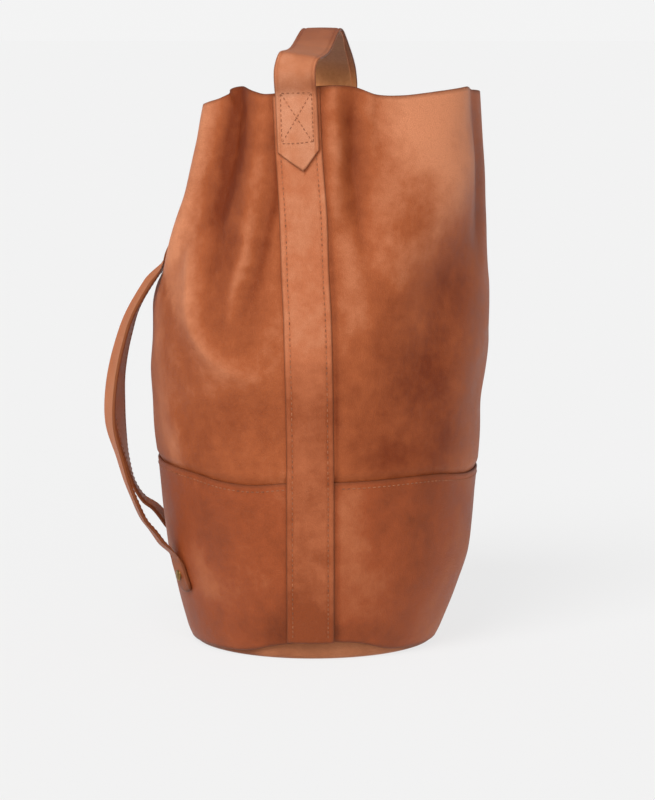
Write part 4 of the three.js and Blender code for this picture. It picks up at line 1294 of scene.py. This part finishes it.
def outline(half_width, half_height, count):
    """The four sides of an oblong about the origin, as arrays of count points each."""
    corners = [(-1, -1), (1, -1), (1, 1), (-1, 1), (-1, -1)]
    return [
        resample(np.array([a, b], float), count) * [half_width, half_height]
        for a, b in zip(corners[:-1], corners[1:])
    ]


SEAM_FOOT, BACK_SEAM_TOP, FRONT_SEAM_TOP = 2.5, 10, 4  # how far the seams stop from the strip's ends


def strip_stitches(side, label):
    low = float(cuff_hem(side * math.pi / 2)) + SEAM_FOOT
    high = float(strip_top(side, 0.0))
    edge = STRIP_WIDTH / 2 - STITCH_INSET
    seams = []
    for x, top in ((-edge, high - BACK_SEAM_TOP), (edge, high - FRONT_SEAM_TOP)):
        z = np.linspace(low, top, 200)
        seams.append(stitch_line(lambda *at: strip_face(side, *at), np.full_like(z, x), z, STRIP_FACE))
    piece(stitch_rows(f"stitches_strip_{label}", seams, THREAD), "bag", "strip_leather")


CUFF_STITCH_DROP = 4.2
WALL_REACH = 122  # the wall's half-width at the cuff's edge
SEAM_CLEARANCE = 1.5  # the cuff's stitches stop this far from a strip


def cuff_stitches(half):
    margin = math.asin((STRIP_WIDTH / 2 + SEAM_CLEARANCE) / WALL_REACH)
    angles = half_turn(half, 400)
    angles = angles[(angles > angles[0] + margin) & (angles < angles[-1] - margin)]
    seams = [stitch_line(cuff_surface, angles, cuff_top(angles) - CUFF_STITCH_DROP, 0.0)]
    piece(stitch_rows(f"stitches_cuff_{half}", seams, THREAD), "bag", "cuff_leather")


def handle_row_at(side, z):
    """The cross-row whose centre is at a height on one side's leg."""
    heights = HANDLE_CENTRE[::-side, 2]
    row = np.interp(z, heights[:LEG_ROWS], np.arange(LEG_ROWS))
    return row if side == LEFT else len(HANDLE_ROWS) - 1 - row


BOX_LOW, BOX_HIGH, BOX_EDGE = 397, 435.5, 11.5
BOX_TILT = 0.9  # how far the lowest row of the box runs out of level


def box_stitches(side, label):
    """A box with a cross, which fixes a tab to its strip."""
    low, high = handle_row_at(side, BOX_LOW), handle_row_at(side, BOX_HIGH)
    lines = [
        [(high, -BOX_EDGE), (high, BOX_EDGE)],
        [(low - BOX_TILT, -BOX_EDGE), (low + BOX_TILT, BOX_EDGE)],
        [(low, -BOX_EDGE), (high, -BOX_EDGE)],
        [(low, BOX_EDGE), (high, BOX_EDGE)],
        [(low, -BOX_EDGE), (high, BOX_EDGE)],
        [(high, -BOX_EDGE), (low, BOX_EDGE)],
    ]
    seams = []
    for line in lines:
        points = resample(np.array(line, float), 120)
        seams.append(stitch_line(handle_surface, points[:, 0], points[:, 1], HANDLE_THICKNESS))
    box = stitch_rows(f"stitches_box_{label}", seams, THREAD, pitch=3.4, length=2.5)
    piece(box, "bag", "strip_leather")


STRAP_STITCH_INSET = 3.6
FREE_ROWS_TOP, FREE_ROWS_END = 28, 14  # cross-rows at a strap's ends that its seams leave free


def strap_stitches(side, label):
    places = np.linspace(FREE_ROWS_TOP, STRAP_ROWS - FREE_ROWS_END, 500)
    edge = STRAP_WIDTH / 2 - STRAP_STITCH_INSET
    seams = [
        stitch_line(strap_surfaces[side], places, np.full_like(places, x), STRAP_THICKNESS / 2)
        for x in (-edge, edge)
    ]
    strap_piece(stitch_rows(f"stitches_shoulder_strap_{label}", seams, THREAD))


HANGER_STITCH_INSET = 3.4


def hanger_stitches():
    middle = HANGER_TOP - HANGER_HEIGHT / 2
    lines = outline(HANGER_WIDTH / 2 - HANGER_STITCH_INSET, HANGER_HEIGHT / 2 - HANGER_STITCH_INSET, 40)
    seams = [stitch_line(hanger_surface, line[:, 0], middle + line[:, 1], HANGER_THICKNESS) for line in lines]
    piece(stitch_rows("stitches_hanger", seams, THREAD), "bag", "strap_leather")


for side, label in SIDES:
    strip_stitches(side, label)
for half in ("front", "back"):
    cuff_stitches(half)
for side, label in SIDES:
    box_stitches(side, label)
for side, label in SIDES:
    strap_stitches(side, label)
hanger_stitches()

# ---------------------------------------------------------------- rivets and snap


def place_on(surface):
    """The place for a turned piece on a surface, which is a function of the offset alone."""
    at = surface(0.0)
    out = unit(surface(1.0) - at)
    first = unit(np.cross([0, 0, 1], out))
    return at, np.vstack([first, np.cross(out, first), out])


RIVET_Z, RIVET_RADIUS = 58, 4.5


def rivet_profile():
    """A domed head outside, a post and a flat cap inside."""
    low, high = -LEATHER - 0.1, STRAP_GAP + STRAP_THICKNESS + 0.1
    cap = [(0, low - 1.3), (3.2, low - 1.3), (4.2, low - 1.0), (4.5, low - 0.4), (4.4, low)]
    post = [(1.8, low), (1.8, high)]
    head = [(4.3, high), (4.6, high + 0.25), (4.5, high + 0.6)]
    turns = np.radians([12, 30, 50, 70])
    dome = [(RIVET_RADIUS * math.cos(a) * 0.95, high + 0.6 + 1.3 * math.sin(a)) for a in turns]
    return cap + post + head + dome + [(0, high + 1.9)]


for side, label in SIDES:
    spot = place_on(lambda offset: on_back_wall(side * STRAP_END_Y, RIVET_Z, offset))
    piece(lathe(f"rivet_{label}", rivet_profile(), spot, BRASS), "bag", "rivet_brass", f"strap_rivet_{label}")

SNAP_Z = 410
PATCH_WIDTH, PATCH_THICKNESS = 34, 1.4
PATCH_BOTTOM = -15  # the lower edge of a snap's patch, from the snap's centre
PATCH_TOP = {"front": 15, "back": 9}  # the upper edges: the back's rim is lower
PATCH_GAP = 0.15
PATCH_CORNER, PATCH_TAPER = 4, 0.12
PATCH_STITCH_INSET = 3


def inside_point(half, y, z, offset):
    """A point inside the wall, at the middle of the front or the back."""
    angle = on_front(y, z) if half == "front" else on_back(y, z)
    return wall(angle, z, relief(angle, z) - LEATHER - PATCH_GAP - offset)


def build_snap_patch(half):
    middle = SNAP_Z + (PATCH_TOP[half] + PATCH_BOTTOM) / 2
    half_height = (PATCH_TOP[half] - PATCH_BOTTOM) / 2
    share = np.linspace(-1, 1, 24)
    y, z = np.meshgrid(share * PATCH_WIDTH / 2, middle + share * half_height)
    y = y * (1 - PATCH_TAPER * smooth(np.abs(z - middle), half_height - PATCH_CORNER, half_height))
    inner, outer = inside_point(half, y, z, PATCH_THICKNESS), inside_point(half, y, z, 0.0)
    patch = leather_sheet(f"snap_backing_{half}", inner, outer, [STRIP, FLESH])
    piece(patch, "bag", "lining_leather", f"snap_patch_{half}")
    lines = outline(PATCH_WIDTH / 2 - PATCH_STITCH_INSET, half_height - PATCH_STITCH_INSET, 30)
    seams = [
        stitch_line(lambda *at: inside_point(half, *at), line[:, 0], middle + line[:, 1], PATCH_THICKNESS)
        for line in lines
    ]
    piece(stitch_rows(f"stitches_snap_{half}", seams, THREAD, pitch=3.2, length=2.3), "bag", "lining_leather")


for half in ("front", "back"):
    build_snap_patch(half)

SOCKET = [
    (0, 0.1), (8.4, 0.1), (9, 0.5), (9.1, 1.6), (8.6, 2.6), (7.4, 3), (4.6, 3),
    (4.1, 2.7), (4, 1.2), (0, 1.1),
]
STUD = [
    (0, 0.1), (8.4, 0.1), (9, 0.4), (9, 0.9), (8.3, 1.3), (4, 1.4), (3.6, 1.7),
    (3.5, 2.6), (3.1, 2.9), (0, 3),
]
for name, half, profile in (("snap_socket", "front", SOCKET), ("snap_stud", "back", STUD)):
    spot = place_on(lambda offset: inside_point(half, 0.0, SNAP_Z, PATCH_THICKNESS + offset))
    piece(lathe(f"{name}_metal", profile, spot, STEEL), "bag", "snap_steel", name)

# ---------------------------------------------------------------- studio

FLOOR_REACH = 60.0
FLOOR_COLOUR = (0.14, 0.14, 0.14, 1)
FLOOR_GLOW = 0.76  # the floor shines a little by itself, as a lit table does, so that shadows stay faint
BACKGROUND, BACKGROUND_TOP = (0.9, 0.9, 0.9, 1), 0.04
SKY, SKY_FROM = (0.3, 0.3, 0.3, 1), 0.22  # the dimmer sky above the background lights the bag from overhead
CAMERA_PLACE = (0.0114, -2.3, 0.49)
CAMERA_DOWN, CAMERA_LENS = 7.44, 131.85

floor_mesh = bpy.data.meshes.new("floor")
corners = [(-1, -1), (1, -1), (1, 1), (-1, 1)]
floor_mesh.from_pydata([(x * FLOOR_REACH, y * FLOOR_REACH, 0) for x, y in corners], [], [(0, 1, 2, 3)])
floor = bpy.data.objects.new("floor", floor_mesh)
bpy.context.scene.collection.objects.link(floor)
floor_material, _, floor_shader, _ = new_material("pale floor", Roughness=1.0, Specular_IOR_Level=0.0)
floor_shader.inputs["Base Color"].default_value = FLOOR_COLOUR
floor_shader.inputs["Emission Color"].default_value = WHITE
floor_shader.inputs["Emission Strength"].default_value = FLOOR_GLOW
floor_mesh.materials.append(floor_material)

world = bpy.data.worlds.new("studio")
bpy.context.scene.world = world
world.use_nodes = True
sky = world.node_tree
direction = node(sky, "ShaderNodeTexCoord").outputs["Generated"]
height = node(sky, "ShaderNodeSeparateXYZ", {"Vector": direction}).outputs["Z"]
sky_colour = ramp(sky, height, [(BACKGROUND_TOP, BACKGROUND), (SKY_FROM, SKY)])
sky.links.new(sky_colour, sky.nodes["Background"].inputs[0])


def sun(name, energy, angle, elevation, azimuth):
    """A soft sun that shines from an azimuth (0 is the camera's side, -90 is the left) at an elevation."""
    lamp = bpy.data.lights.new(name, "SUN")
    lamp.energy, lamp.angle = energy, math.radians(angle)
    obj = bpy.data.objects.new(name, lamp)
    obj.rotation_euler = (math.radians(90 - elevation), 0, math.radians(azimuth))
    bpy.context.scene.collection.objects.link(obj)


sun("key", 2.4, 32, 46, -27)
sun("front", 0.85, 50, 11, 14)

camera_data = bpy.data.cameras.new("camera")
camera_data.lens = CAMERA_LENS
camera = bpy.data.objects.new("camera", camera_data)
camera.location = CAMERA_PLACE
camera.rotation_euler = (math.radians(90 - CAMERA_DOWN), 0, 0)
bpy.context.scene.collection.objects.link(camera)
bpy.context.scene.camera = camera
bpy.context.scene.view_settings.view_transform = "Standard"
